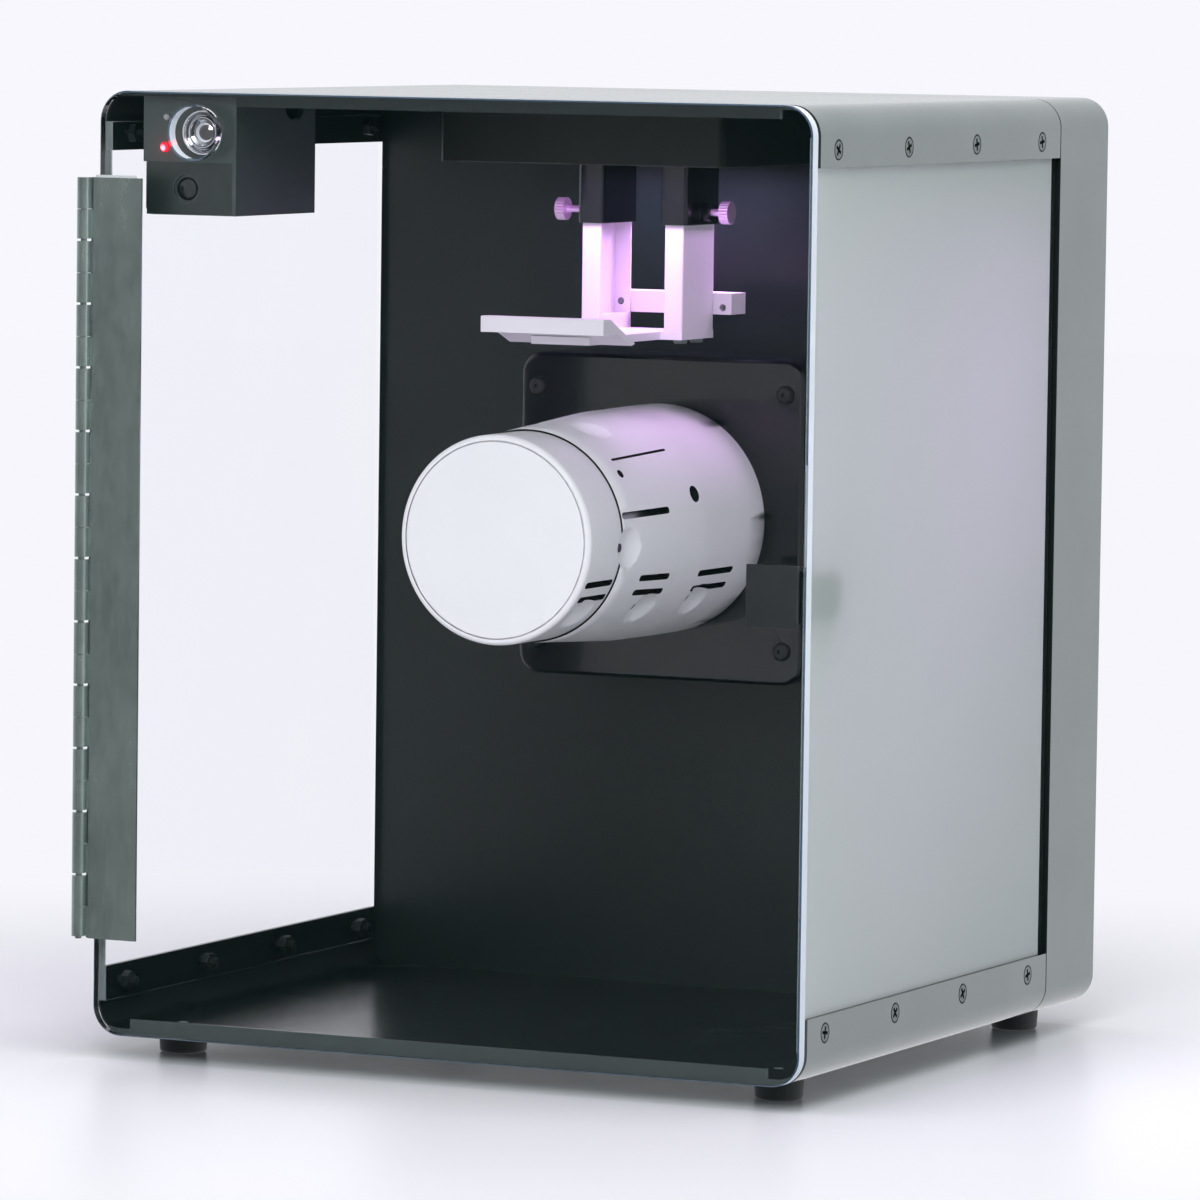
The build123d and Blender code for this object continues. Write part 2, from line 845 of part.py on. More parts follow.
def make_control_housing():
    """Control box under the ceiling, open at its lower front."""
    x0 = control_left_x
    x1 = control_right_x
    wall = control_wall
    body = block(x0, x1, control_front_inset, control_back_y, control_bottom_z, ceiling_z)
    hollow = block(
        x0 + wall,
        x1 - wall,
        control_front_inset + wall,
        control_back_y - wall,
        control_bottom_z + wall,
        ceiling_z,
    )
    body -= hollow
    lip_x = x1 - lower_plate_right + lower_plate_gap
    body -= block(x0, lip_x, control_front_inset, lower_plate_back_y, control_bottom_z, control_step_z)
    flange_y = control_back_y - wall - 4 * ceiling_head_radius
    flange_z = ceiling_z - ceiling_flange
    body += block(x0 + wall, x1 - wall, flange_y, control_back_y - wall, flange_z, ceiling_z)
    rib_top = flange_z - wall
    for y in (board_y - board_slot_rib, board_y + board_sheet):
        for rib_x in (x0 + wall, x1 - wall - board_slot_depth):
            body += block(
                rib_x,
                rib_x + board_slot_depth,
                y,
                y + board_slot_rib,
                control_bottom_z + wall,
                rib_top,
            )
    notch_place = Pos(cable_notch_y, ceiling_z - cable_notch_depth / 2)
    notch = notch_place * Rectangle(cable_notch_width, cable_notch_depth)
    notch = slab_x(notch, x1 - 1.5 * wall, x1 + wall)
    notch = fillet(notch.edges().filter_by(Axis.X).group_by(Axis.Z)[0], cable_notch_width * 0.35)
    body -= notch
    body -= rod_y(button_x, button_z, barrel_thread_radius + barrel_gap, 0, lower_plate_back_y)
    for x, z, radius in indicator_places():
        body -= rod_y(x, z, radius + thread_clearance, 0, lower_plate_back_y)
    for x, y in ceiling_screw_places()[:2]:
        body -= rod_z(x, y, ceiling_screw_radius + screw_clearance, flange_z - wall, ceiling_z)
    keep("control_housing", body)


def make_lower_plate():
    """Lower face plate of the control box, with the recess of the small button."""
    x0 = control_left_x + lower_plate_left
    x1 = control_right_x - lower_plate_right
    outline = Pos((x0 + x1) / 2, (control_bottom_z + control_step_z) / 2) * Rectangle(
        x1 - x0, control_step_z - control_bottom_z
    )
    corner = outline.vertices().sort_by(Axis.Y)[:2].sort_by(Axis.X)[0]
    outline = chamfer(corner, lower_plate_chamfer)
    plate = slab_y(outline, lower_plate_y, lower_plate_back_y)
    inner_x0 = control_left_x + control_wall
    inner_x1 = control_right_x - control_wall
    tab_z = control_bottom_z + control_wall
    tab_y = lower_plate_back_y + lower_plate_tab
    plate += block(inner_x0, inner_x1, lower_plate_back_y, tab_y, tab_z, tab_z + lower_plate_tab_sheet)
    recess_back_y = lower_plate_y + lower_recess_depth
    plate -= rod_y(lower_button_x, lower_button_z, lower_recess_radius, 0, recess_back_y)
    plate -= rod_y(lower_button_x, lower_button_z, dome_radius + dome_clearance, 0, lower_plate_back_y)
    keep("control_lower_plate", plate)


def make_start_button():
    """Push button: threaded body with a bezel, its nut and the dished cap."""
    face_y = control_front_inset - bezel_lead
    bezel = Pos(0, 0, bezel_lead / 2) * Cylinder(bezel_radius, bezel_lead)
    bezel = chamfer(bezel.edges().group_by(Axis.Z)[-1], bezel_ring)
    body = bezel + Pos(0, 0, -barrel_length / 2) * Cylinder(barrel_thread_radius, barrel_length)
    pocket = cap_recess + cap_length + cap_travel + cap_floor_gap
    body -= Pos(0, 0, bezel_lead - pocket / 2) * Cylinder(cap_radius + cap_clearance, pocket)
    keep("start_button_body", aim(body, (button_x, control_front_inset, button_z), (0, -1, 0)))
    sphere_radius = (cap_radius ** 2 + cap_dish ** 2) / (2 * cap_dish)
    cap = Pos(0, 0, -cap_length / 2) * Cylinder(cap_radius, cap_length)
    cap = fillet(cap.edges().group_by(Axis.Z)[-1], cap_edge_round)
    cap -= Pos(0, 0, sphere_radius - cap_dish + cap_dish_offset) * Sphere(sphere_radius)
    keep("start_button_cap", aim(cap, (button_x, face_y + cap_recess, button_z), (0, -1, 0)))
    nut = hex_nut(button_nut_width, button_nut_height, barrel_thread_radius + thread_clearance)
    nut_y = control_front_inset + control_wall
    keep("start_button_nut", aim(nut, (button_x, nut_y, button_z), (0, 1, 0)))


def indicator_places():
    """x, z and radius of the two indicator lamps."""
    x = control_left_x + lamp_side_inset
    lit = (x, ceiling_z - lamp_drop, lamp_radius)
    small = (x + small_lamp_shift, ceiling_z - small_lamp_drop, small_lamp_radius)
    return [lit, small]


def make_indicators():
    """Indicator lamps, each a short body with a domed lens."""
    lamps = []
    for x, z, radius in indicator_places():
        front_y = control_front_inset - lamp_dome
        lamp = rod_y(x, z, radius, front_y, front_y + lamp_body_length)
        lamp = fillet(lamp.edges().group_by(Axis.Y)[0], min(lamp_dome, radius * 0.8))
        lamps.append(lamp)
    keep("indicator_leds", *lamps)


def make_lower_button():
    """Small domed button: dome, retaining flange and stem."""
    x = lower_button_x
    z = lower_button_z
    front_y = lower_plate_y - dome_lead + lower_recess_depth
    flange_y = lower_plate_back_y + fit_gap
    dome = rod_y(x, z, dome_radius, front_y, flange_y)
    dome = fillet(dome.edges().group_by(Axis.Y)[0], dome_round)
    dome += rod_y(x, z, dome_flange_radius, flange_y, flange_y + dome_flange_height)
    dome += rod_y(x, z, stem_radius, flange_y, flange_y + stem_length)
    keep("lower_button", dome)
    return flange_y + stem_length


def make_control_board(stem_end_y):
    """Board held in the ribs, with the switch block behind the small button."""
    inner_x0 = control_left_x + control_wall + board_edge_gap
    inner_x1 = control_right_x - control_wall - board_edge_gap
    z0 = control_bottom_z + control_wall
    z1 = ceiling_z - ceiling_flange - control_wall
    board = block(inner_x0, inner_x1, board_y, board_y + board_sheet, z0, z1)
    half = switch_block / 2
    block_y = stem_end_y + dome_travel + fit_gap
    board += block(
        lower_button_x - half,
        lower_button_x + half,
        block_y,
        board_y,
        lower_button_z - half,
        lower_button_z + half,
    )
    keep("control_board", board)


def window_spans():
    """Front and back y of the two window openings."""
    front0 = lamp_box_front_y + front_window_inset
    rear1 = lamp_box_back_y - rear_window_inset
    return [(front0, front0 + front_window_length), (rear1 - rear_window_length, rear1)]


def tube_outline(side, gap, wall):
    """Outline of one hanger tube in x and y, grown by a gap or shrunk by a wall."""
    grow = 2 * (gap - wall)
    corner = max(tube_corner + gap - wall, 0.5)
    shape = RectangleRounded(tube_width + grow, tube_depth + grow, corner)
    return Pos(side * tube_half_spacing, hanger_y) * shape


def make_lamp_box():
    """Flat box under the ceiling that holds the lamps and lets the hanger tubes through."""
    half = lamp_box_width / 2
    wall = lamp_box_wall
    outer = rounded(-half, half, lamp_box_front_y, lamp_box_back_y, lamp_box_corner)
    inner = rounded(
        -half + wall, half - wall, lamp_box_front_y + wall, lamp_box_back_y - wall, lamp_box_corner - wall
    )
    box = slab_z(outer, lamp_box_z, ceiling_z) - slab_z(inner, lamp_box_z + wall, ceiling_z)
    flange = slab_z(inner, ceiling_z - ceiling_flange, ceiling_z)
    ledge_top = lamp_box_z + lamp_board_lift
    ledge = slab_z(inner, ledge_top - lamp_ledge_height, ledge_top)
    for side in (-1, 1):
        edge = side * (half - wall)
        reach = sorted((edge, edge - side * lamp_flange_reach))
        box += flange & block(*reach, lamp_box_front_y, lamp_box_back_y, lamp_box_z, ceiling_z)
        reach = sorted((edge, edge - side * lamp_ledge_width))
        box += ledge & block(*reach, lamp_box_front_y, lamp_box_back_y, lamp_box_z, ceiling_z)
        box -= slab_z(tube_outline(side, tube_hole_gap, 0), lamp_box_z - wall, lamp_box_z + 2 * wall)
    for y0, y1 in window_spans():
        box -= block(-window_width / 2, window_width / 2, y0, y1, lamp_box_z - wall, lamp_box_z + 2 * wall)
    hole_radius = ceiling_screw_radius + screw_clearance
    for x, y in ceiling_screw_places()[2:6]:
        box -= rod_z(x, y, hole_radius, ceiling_z - 2 * ceiling_flange, ceiling_z)
    keep("lamp_housing", box)


def make_lamps():
    """Windows, boards and lamp chips of the lamp box."""
    windows = []
    boards = []
    chips = []
    board_half = lamp_box_width / 2 - lamp_box_wall - fit_gap
    board_z = lamp_box_z + lamp_board_lift
    window_half = window_width / 2 + window_overlap
    for y0, y1 in window_spans():
        seat_z = lamp_box_z + lamp_box_wall
        windows.append(
            block(
                -window_half,
                window_half,
                y0 - window_overlap,
                y1 + window_overlap,
                seat_z,
                seat_z + window_sheet,
            )
        )
        boards.append(
            block(
                -board_half,
                board_half,
                y0 - lamp_board_margin,
                y1 + lamp_board_margin,
                board_z,
                board_z + board_sheet,
            )
        )
        rows = max(1, int((y1 - y0) / lamp_chip_pitch))
        for row in range(rows):
            chip_y = (y0 + y1) / 2 + (row - (rows - 1) / 2) * lamp_chip_pitch
            for column in range(lamp_chip_columns):
                chip_x = (column - (lamp_chip_columns - 1) / 2) * lamp_chip_pitch
                chip = Pos(chip_x, chip_y, board_z - lamp_chip_height / 2)
                chips.append(chip * Box(lamp_chip, lamp_chip, lamp_chip_height))
    keep("lamp_windows", *windows)
    keep("lamp_boards", *boards)
    keep("lamp_chips", *chips)


def make_ceiling_screws():
    """Screws up into the ceiling sheet."""
    length = ceiling_flange + ceiling_screw_bite - thread_clearance
    screw = pan_screw(ceiling_screw_radius, length, ceiling_head_radius, ceiling_head_height)
    seat_z = ceiling_z - ceiling_flange
    keep("ceiling_screws", *[aim(screw, (x, y, seat_z), (0, 0, -1)) for x, y in ceiling_screw_places()])


def make_tube(side):
    """One hanger tube with its top flange."""
    tube = slab_z(tube_outline(side, 0, 0), tube_bottom_z, ceiling_z)
    reach = tube_depth / 2 + tube_flange_reach
    x = side * tube_half_spacing
    half = tube_width / 2
    flange_z = ceiling_z - ceiling_flange
    tube += block(x - half, x + half, hanger_y - reach, hanger_y + reach, flange_z, ceiling_z)
    tube -= slab_z(tube_outline(side, 0, tube_wall), tube_bottom_z, ceiling_z)
    for screw_x, y in ceiling_screw_places()[6:]:
        hole_radius = ceiling_screw_radius + screw_clearance
        tube -= rod_z(screw_x, y, hole_radius, flange_z, ceiling_z)
    outer_x = side * (tube_half_spacing + half)
    hole = sorted((outer_x - side * 2 * tube_wall, outer_x + side * tube_wall))
    tube -= rod_x(hanger_y, clamp_z, thumb_shank_radius + screw_clearance, *hole)
    return tube


def make_boss(side):
    """Threaded boss on the outer side of one tube."""
    inner_x = side * (tube_half_spacing + tube_width / 2)
    span = sorted((inner_x, inner_x + side * boss_length))
    boss = rod_x(hanger_y, clamp_z, boss_radius, *span)
    return boss - rod_x(hanger_y, clamp_z, thumb_shank_radius + thread_clearance, *span)


def make_thumb_screw(side, backed_off):
    """Knurled thumb screw that bears on one bar."""
    profile = Circle(thumb_head_radius)
    groove_width = thumb_knurl_depth * 2
    groove = Pos(thumb_head_radius, 0) * Rot(0, 0, 45) * Rectangle(groove_width, groove_width)
    for index in range(thumb_knurls):
        profile -= Rot(0, 0, index * 360 / thumb_knurls) * groove
    head = extrude(profile, amount=thumb_head_length)
    screw = head + Pos(0, 0, -thumb_shank_length / 2) * Cylinder(thumb_shank_radius, thumb_shank_length)
    bar_face = tube_half_spacing + bar_width / 2
    seat = bar_face + thumb_tip_gap + thumb_shank_length + backed_off
    return aim(screw, (side * seat, hanger_y, clamp_z), (side, 0, 0))


def make_bar(side):
    """Channel bar that slides in a tube, open towards the middle, with a solid foot."""
    x = side * tube_half_spacing
    half = bar_width / 2
    bar = slab_z(tube_outline(side, -slide_clearance, tube_wall), arm_top_z, bar_top_z)
    hollow = sorted((x - side * half, x + side * (half - bar_wall)))
    hollow_depth = bar_depth / 2 - bar_wall
    bar -= block(*hollow, hanger_y - hollow_depth, hanger_y + hollow_depth, arm_top_z + bar_foot, bar_top_z)
    for screw_y in arm_screw_rows():
        bar -= rod_z(x, screw_y, hanger_screw_radius + thread_clearance, arm_top_z, arm_top_z + bar_foot)
    screw_z = crosspiece_z + crosspiece_height / 2
    bore = hanger_screw_radius + thread_clearance
    return bar - rod_y(x, screw_z, bore, bar_back_y - 2 * bar_wall, bar_back_y + bar_wall)


def arm_screw_rows():
    """y of the screws up into the bars' feet."""
    return (hanger_y - bar_depth / 4, hanger_y + bar_depth / 4)


def make_crosspiece():
    """Block behind the bars that ties them, with two open tapped holes."""
    half = crosspiece_width / 2
    body = block(
        -half,
        half,
        bar_back_y,
        bar_back_y + crosspiece_depth,
        crosspiece_z,
        crosspiece_z + crosspiece_height,
    )
    screw_z = crosspiece_z + crosspiece_height / 2
    seat_y = bar_back_y + crosspiece_depth - crosspiece_pocket()
    for side in (-1, 1):
        x = side * tube_half_spacing
        back_y = bar_back_y + crosspiece_depth
        body -= rod_y(x, screw_z, hanger_screw_head_radius + screw_clearance, seat_y, back_y)
        body -= rod_y(x, screw_z, hanger_screw_radius + screw_clearance, bar_back_y, back_y)
        hole_z = crosspiece_z + crosspiece_hole_lift
        hole_end = bar_back_y + crosspiece_hole_depth
        body -= rod_y(side * crosspiece_hole_x, hole_z, crosspiece_hole_radius, bar_back_y, hole_end)
    return body


def crosspiece_pocket():
    """Depth of the crosspiece's screw pockets, which lets the screws reach the bars."""
    return crosspiece_depth + bar_wall - hanger_screw_length


def make_tongue():
    """Hook plate: an arm under the bars and a wide raised lip in front."""
    front_y = hanger_y - tongue_reach
    lip_top_z = arm_top_z + tongue_lip_rise
    lip_back_y = front_y + tongue_lip_length
    tail_y = front_y + tongue_tail
    heel_y = front_y + tongue_heel
    outline = Polyline(
        (front_y, lip_top_z),
        (lip_back_y, lip_top_z),
        (tail_y, arm_bottom_z + 0.25 * arm_sheet),
        (tail_y - arm_sheet, arm_bottom_z),
        (heel_y, lip_top_z - tongue_lip_height),
        (front_y, lip_top_z - tongue_lip_height),
        close=True,
    )
    tongue = slab_x(make_face(outline), -tongue_width / 2, tongue_width / 2)
    half = arm_width / 2
    arm_front_y = tail_y - 4 * arm_sheet
    arm_back_y = hanger_y + bar_depth / 2
    tongue += block(-half, half, arm_front_y, arm_back_y, arm_bottom_z, arm_top_z)
    foot_half = tube_half_spacing + bar_width / 2
    tongue += block(-foot_half, foot_half, hanger_y - bar_depth / 2, arm_back_y, arm_bottom_z, arm_top_z)
    for side in (-1, 1):
        for y in arm_screw_rows():
            radius = hanger_screw_radius + screw_clearance
            tongue -= rod_z(side * tube_half_spacing, y, radius, arm_bottom_z, arm_top_z)
    return tongue


def make_hanger():
    """Tubes, clamps, sliding bars, crosspiece, hook plate and their screws."""
    keep("hanger_tube_right", make_tube(1))
    keep("hanger_tube_left", make_tube(-1))
    keep("clamp_bosses", make_boss(-1), make_boss(1))
    keep("thumb_screw_right", make_thumb_screw(1, 0))
    keep("thumb_screw_left", make_thumb_screw(-1, left_thumb_backed_off))
    keep("hanger_bar_right", make_bar(1))
    keep("hanger_bar_left", make_bar(-1))
    keep("hanger_crosspiece", make_crosspiece())
    keep("hanger_tongue", make_tongue())
    screw = pan_screw(
        hanger_screw_radius, hanger_screw_length, hanger_screw_head_radius, hanger_screw_head_height
    )
    seat_y = bar_back_y + crosspiece_depth - crosspiece_pocket()
    screw_z = crosspiece_z + crosspiece_height / 2
    screws = []
    for side in (-1, 1):
        x = side * tube_half_spacing
        screws += [aim(screw, (x, y, arm_bottom_z), (0, 0, -1)) for y in arm_screw_rows()]
        screws.append(aim(screw, (x, seat_y, screw_z), (0, 1, 0)))
    keep("hanger_screws", *screws)


def make_base_box():
    """Box on the back wall that carries the pod, and its four screws."""
    half = base_width / 2
    low = pod_z - base_height / 2
    high = pod_z + base_height / 2
    body = slab_y(rounded(-half, half, low, high, base_corner), base_front_y, wall_y)
    body = fillet(body.faces().sort_by(Axis.Y)[0].edges(), base_edge_round)
    inner = rounded(
        -half + base_wall, half - base_wall, low + base_wall, high - base_wall, base_corner - base_wall
    )
    body -= slab_y(inner, base_front_y + base_front_wall, wall_y)
    body -= rod_y(0, pod_z, wire_hole_radius, base_front_y, wall_y)
    screw_length = base_depth + 2 * sheet
    head = Pos(0, 0, base_head_height / 2) * Cylinder(base_head_radius, base_head_height)
    head = fillet(head.edges().group_by(Axis.Z)[-1], base_head_height * 0.7)
    screw = head + Pos(0, 0, -screw_length / 2) * Cylinder(base_screw_radius, screw_length)
    socket = extrude(RegularPolygon(base_socket_radius, 6), amount=base_socket_depth)
    screw -= Pos(0, 0, base_head_height - base_socket_depth) * socket
    screws = []
    for x, z in base_screw_places():
        body += rod_y(x, z, base_boss_radius, base_front_y + base_front_wall, wall_y)
        body -= rod_y(x, z, base_screw_radius + screw_clearance, base_front_y, wall_y)
        screws.append(aim(screw, (x, base_front_y, z), (0, -1, 0)))
    hole_end_y = base_front_y + base_front_wall
    for x, z in pod_screw_places():
        body -= rod_y(x, z, pod_screw_radius + screw_clearance, base_front_y, hole_end_y)
    keep("pod_base", body)
    keep("base_screws", *screws)


def pod_screw_places():
    """x and z of the three screws that hold the pod to its base."""
    angles = [math.radians(90 + 120 * index) for index in range(3)]
    return [(pod_screw_ring * math.cos(a), pod_z + pod_screw_ring * math.sin(a)) for a in angles]


def pod_profile_radius(y):
    """Outer radius of the pod at a distance behind its front."""
    if y <= cap_seam_y:
        return pod_front_radius
    if y <= pod_waist_y:
        share = (y - cap_seam_y) / (pod_waist_y - cap_seam_y)
        seam_radius = pod_front_radius + pod_seam_step
        return seam_radius + share * (pod_waist_radius - seam_radius)
    share = min(1, (y - pod_waist_y) / (pod_shoulder_y - pod_waist_y))
    return pod_waist_radius + share * (pod_rear_radius - pod_waist_radius)


def pod_outline(shrink, start, end):
    """Half outline of the pod's body, with a soft shoulder, to be turned about its axis."""
    front_radius = pod_front_radius + pod_seam_step - shrink
    rear_radius = pod_rear_radius - shrink
    path = FilletPolyline(
        (front_radius, start),
        (pod_waist_radius - shrink, pod_waist_y),
        (rear_radius, pod_shoulder_y),
        (rear_radius, end),
        radius=pod_shoulder_round,
    )
    close = Polyline((rear_radius, end), (0, end), (0, start), (front_radius, start))
    return make_face([path, close])


def turned(sketch):
    """Outline of radius and depth, turned about the pod's axis."""
    solid = revolve(sketch, Axis.Y)
    return Pos(0, pod_front_y, pod_z) * solid


def at_angle(shape, angle):
    """Shape drawn along +X from the pod's axis, turned to an angle about that axis."""
    return Pos(0, pod_front_y, pod_z) * Rot(0, -angle, 0) * shape


def scoop_centre_radius(depth):
    """Distance of a scoop's ball centre from the pod's axis."""
    return pod_profile_radius(depth) + scoop_radius - scoop_depth


def pod_led(angle, depth):
    """Lamp in a scoop, from the core out to just above the scoop's floor."""
    floor = scoop_centre_radius(depth) - math.sqrt(scoop_radius ** 2 - led_forward ** 2)
    return at_angle(rod_x(depth - led_forward, 0, led_radius, core_radius, floor + led_lead), angle)


def pod_slot(angle, span, height):
    """Slot through the pod's wall along its axis."""
    start, end = span
    sketch = Pos((start + end) / 2, 0) * SlotOverall(end - start, height)
    return at_angle(slab_x(sketch, core_radius + led_lead, 1.5 * pod_rear_radius), angle)


def pod_cuts():
    """Scoops, lamp holes, slots and vents of both sides, as one list of cutting shapes."""
    cuts = []
    for angle, depth in scoop_places:
        centre = scoop_centre_radius(depth)
        ball = Pos(centre, depth, 0) * Sphere(scoop_radius)
        cuts.append(at_angle(ball, angle))
        hole = rod_x(depth - led_forward, 0, led_radius + led_clearance, core_radius, centre)
        cuts.append(at_angle(hole, angle))
    cuts += [pod_slot(angle, span, slot_height) for angle, span in vents]
    cuts.append(pod_slot(long_slot_angle, long_slot_span, slot_height))
    cuts.append(pod_slot(thin_slot_angle, thin_slot_span, thin_slot_height))
    port = rod_x(port_depth, 0, port_radius, core_radius + led_lead, 1.5 * pod_rear_radius)
    cuts.append(at_angle(port, port_angle))
    return cuts + [mirrored(cut) for cut in cuts]


def make_pod():
    """Cap, body, core, lamps, fan and screws of the pod."""
    cuts = pod_cuts()
    inner_radius = pod_front_radius - pod_wall
    cap = rod_y(0, pod_z, pod_front_radius, pod_front_y, cap_end_y)
    cap = fillet(cap.edges().group_by(Axis.Y)[0], pod_front_round)
    cap -= rod_y(0, pod_z, inner_radius, pod_front_y + pod_end_wall, cap_end_y)
    groove_back_y = pod_front_y + pod_seam_depth
    groove = rod_y(0, pod_z, pod_seam_radius, pod_front_y, groove_back_y)
    groove -= rod_y(0, pod_z, pod_seam_radius - pod_seam_width, pod_front_y, groove_back_y)
    cap -= groove
    end = pod_length - pod_end_wall
    body = turned(pod_outline(0, cap_seam_y, pod_length)) - turned(pod_outline(pod_wall, cap_seam_y, end))
    spigot_radius = inner_radius - spigot_gap
    spigot_bore = spigot_radius - spigot_wall
    spigot_y = cap_end_y - spigot_length
    root_y = cap_end_y + spigot_length
    spigot = rod_y(0, pod_z, spigot_radius, spigot_y, root_y)
    spigot -= rod_y(0, pod_z, spigot_bore, spigot_y, root_y)
    ring = rod_y(0, pod_z, (pod_front_radius + spigot_radius) / 2, cap_end_y, root_y)
    ring -= rod_y(0, pod_z, spigot_bore, cap_end_y, root_y)
    body += spigot + ring
    for cut in cuts:
        cap -= cut
        body -= cut
    body -= rod_y(0, pod_z, wire_hole_radius, base_front_y - pod_end_wall, base_front_y)
    for x, z in pod_screw_places():
        body -= rod_y(x, z, pod_screw_radius + screw_clearance, base_front_y - pod_end_wall, base_front_y)
    keep("pod_cap", cap)
    keep("pod_body", body)
    lamps = [pod_led(angle, depth) for angle, depth in scoop_places]
    keep("pod_leds", *lamps, *[mirrored(lamp) for lamp in lamps])
    screw = pan_screw(pod_screw_radius, pod_screw_length, pod_head_radius, pod_head_height)
    seat_y = base_front_y + base_front_wall
    keep("pod_screws", *[aim(screw, (x, seat_y, z), (0, 1, 0)) for x, z in pod_screw_places()])


def make_core_and_fan():
    """Metal core that cools the lamps, and the fan behind it."""
    fan_back_y = base_front_y - pod_end_wall
    fan_front_y = fan_back_y - fan_depth
    core_front_y = pod_front_y + core_front_gap
    core = rod_y(0, pod_z, core_radius, core_front_y, fan_front_y)
    core += rod_y(0, pod_z, core_flange_radius, fan_front_y - core_flange_sheet, fan_front_y)
    core -= rod_y(0, pod_z, core_radius - core_wall, core_front_y, fan_front_y)
    keep("pod_core", core)
    frame_radius = pod_rear_radius - pod_wall - fan_wall_gap
    frame = rod_y(0, pod_z, frame_radius, fan_front_y, fan_back_y)
    frame -= rod_y(0, pod_z, fan_bore_radius, fan_front_y, fan_back_y)
    plate_y = fan_back_y - fan_plate
    hub = rod_y(0, pod_z, fan_hub_radius, plate_y, fan_back_y)
    strut = block(
        -fan_strut_width / 2,
        fan_strut_width / 2,
        plate_y,
        fan_back_y,
        0,
        fan_bore_radius + fan_wall_gap,
    )
    for index in range(3):
        hub += Pos(0, 0, pod_z) * Rot(0, 30 + 120 * index, 0) * strut
    frame += hub
    frame -= rod_y(0, pod_z, fan_shaft_radius + fan_shaft_clearance, plate_y, fan_back_y)
    for x, z in pod_screw_places():
        bore = pod_screw_radius + thread_clearance
        frame -= rod_y(x, z, bore, fan_back_y - pod_screw_length, fan_back_y)
    keep("pod_fan_frame", frame)
    rotor_back_y = plate_y - fan_hub_gap
    rotor_front_y = rotor_back_y - fan_rotor_depth
    rotor = rod_y(0, pod_z, fan_hub_radius, rotor_front_y, rotor_back_y)
    rotor += rod_y(0, pod_z, fan_shaft_radius, rotor_front_y, fan_back_y)
    blade_length = fan_blade_radius - fan_hub_radius + 1
    blade = Pos(0, 0, fan_hub_radius - 1 + blade_length / 2) * Rot(0, 0, fan_blade_angle) * Box(
        fan_blade_sheet, fan_blade_chord, blade_length
    )
    for index in range(fan_blades):
        turn = Rot(0, index * 360 / fan_blades, 0)
        rotor += Pos(0, (rotor_front_y + rotor_back_y) / 2, pod_z) * turn * blade
    keep("pod_fan_rotor", rotor)


def inlet_outline(grow):
    """Mains inlet outline with its two cut upper corners."""
    shape = Rectangle(inlet_body_width + 2 * grow, inlet_body_height + 2 * grow)
    corners = shape.vertices().sort_by(Axis.Y)[-2:]
    return Pos(inlet_x, inlet_z) * chamfer(corners, inlet_body_chamfer)


def make_inlet():
    """Mains inlet and its three pins."""
    flange = rounded(
        inlet_x - inlet_flange_width / 2,
        inlet_x + inlet_flange_width / 2,
        inlet_z - inlet_flange_height / 2,
        inlet_z + inlet_flange_height / 2,
        2,
    )
    face_y = rear_y + inlet_flange_sheet
    front_y = face_y - inlet_depth
    body = slab_y(flange, rear_y, face_y) + slab_y(inlet_outline(0), front_y, face_y)
    floor_y = front_y + inlet_wall
    body -= slab_y(inlet_outline(-inlet_wall), floor_y, face_y)
    pins = []
    half_width = inlet_pin_width / 2
    half_height = inlet_pin_height / 2
    for step, drop in ((-1, inlet_pin_drop), (0, -inlet_pin_drop), (1, inlet_pin_drop)):
        x = inlet_x + step * inlet_pin_spacing
        z = inlet_z - drop
        pin = block(
            x - half_width,
            x + half_width,
            front_y,
            floor_y + inlet_pin_length,
            z - half_height,
            z + half_height,
        )
        body -= pin
        pins.append(pin)
    keep("power_inlet", body)
    keep("inlet_pins", *pins)
    return front_y


def make_rocker():
    """Mains rocker switch: its body and the rocker on its axle."""
    face_y = rear_y + rocker_flange_sheet
    flange = rounded(
        inlet_x - rocker_flange_width / 2,
        inlet_x + rocker_flange_width / 2,
        rocker_z - rocker_flange_height / 2,
        rocker_z + rocker_flange_height / 2,
        1.5,
    )
    half_width = rocker_body_width / 2
    half_height = rocker_body_height / 2
    back_y = face_y - rocker_body_depth
    body = slab_y(flange, rear_y, face_y)
    body += block(
        inlet_x - half_width,
        inlet_x + half_width,
        back_y,
        face_y,
        rocker_z - half_height,
        rocker_z + half_height,
    )
    inner_width = half_width - rocker_wall
    inner_height = half_height - rocker_wall
    pocket_y = back_y + rocker_wall
    body -= block(
        inlet_x - inner_width,
        inlet_x + inner_width,
        pocket_y,
        face_y,
        rocker_z - inner_height,
        rocker_z + inner_height,
    )
    axle_y = face_y - rocker_axle_depth
    axle_half = half_height - rocker_wall / 2
    axle_bore = rocker_axle_radius + rocker_axle_clearance
    body -= rod_z(inlet_x, axle_y, axle_bore, rocker_z - axle_half, rocker_z + axle_half)
    keep("rocker_body", body)
    keep("rocker", make_rocker_paddle(axle_y, inner_width, inner_height, axle_half))


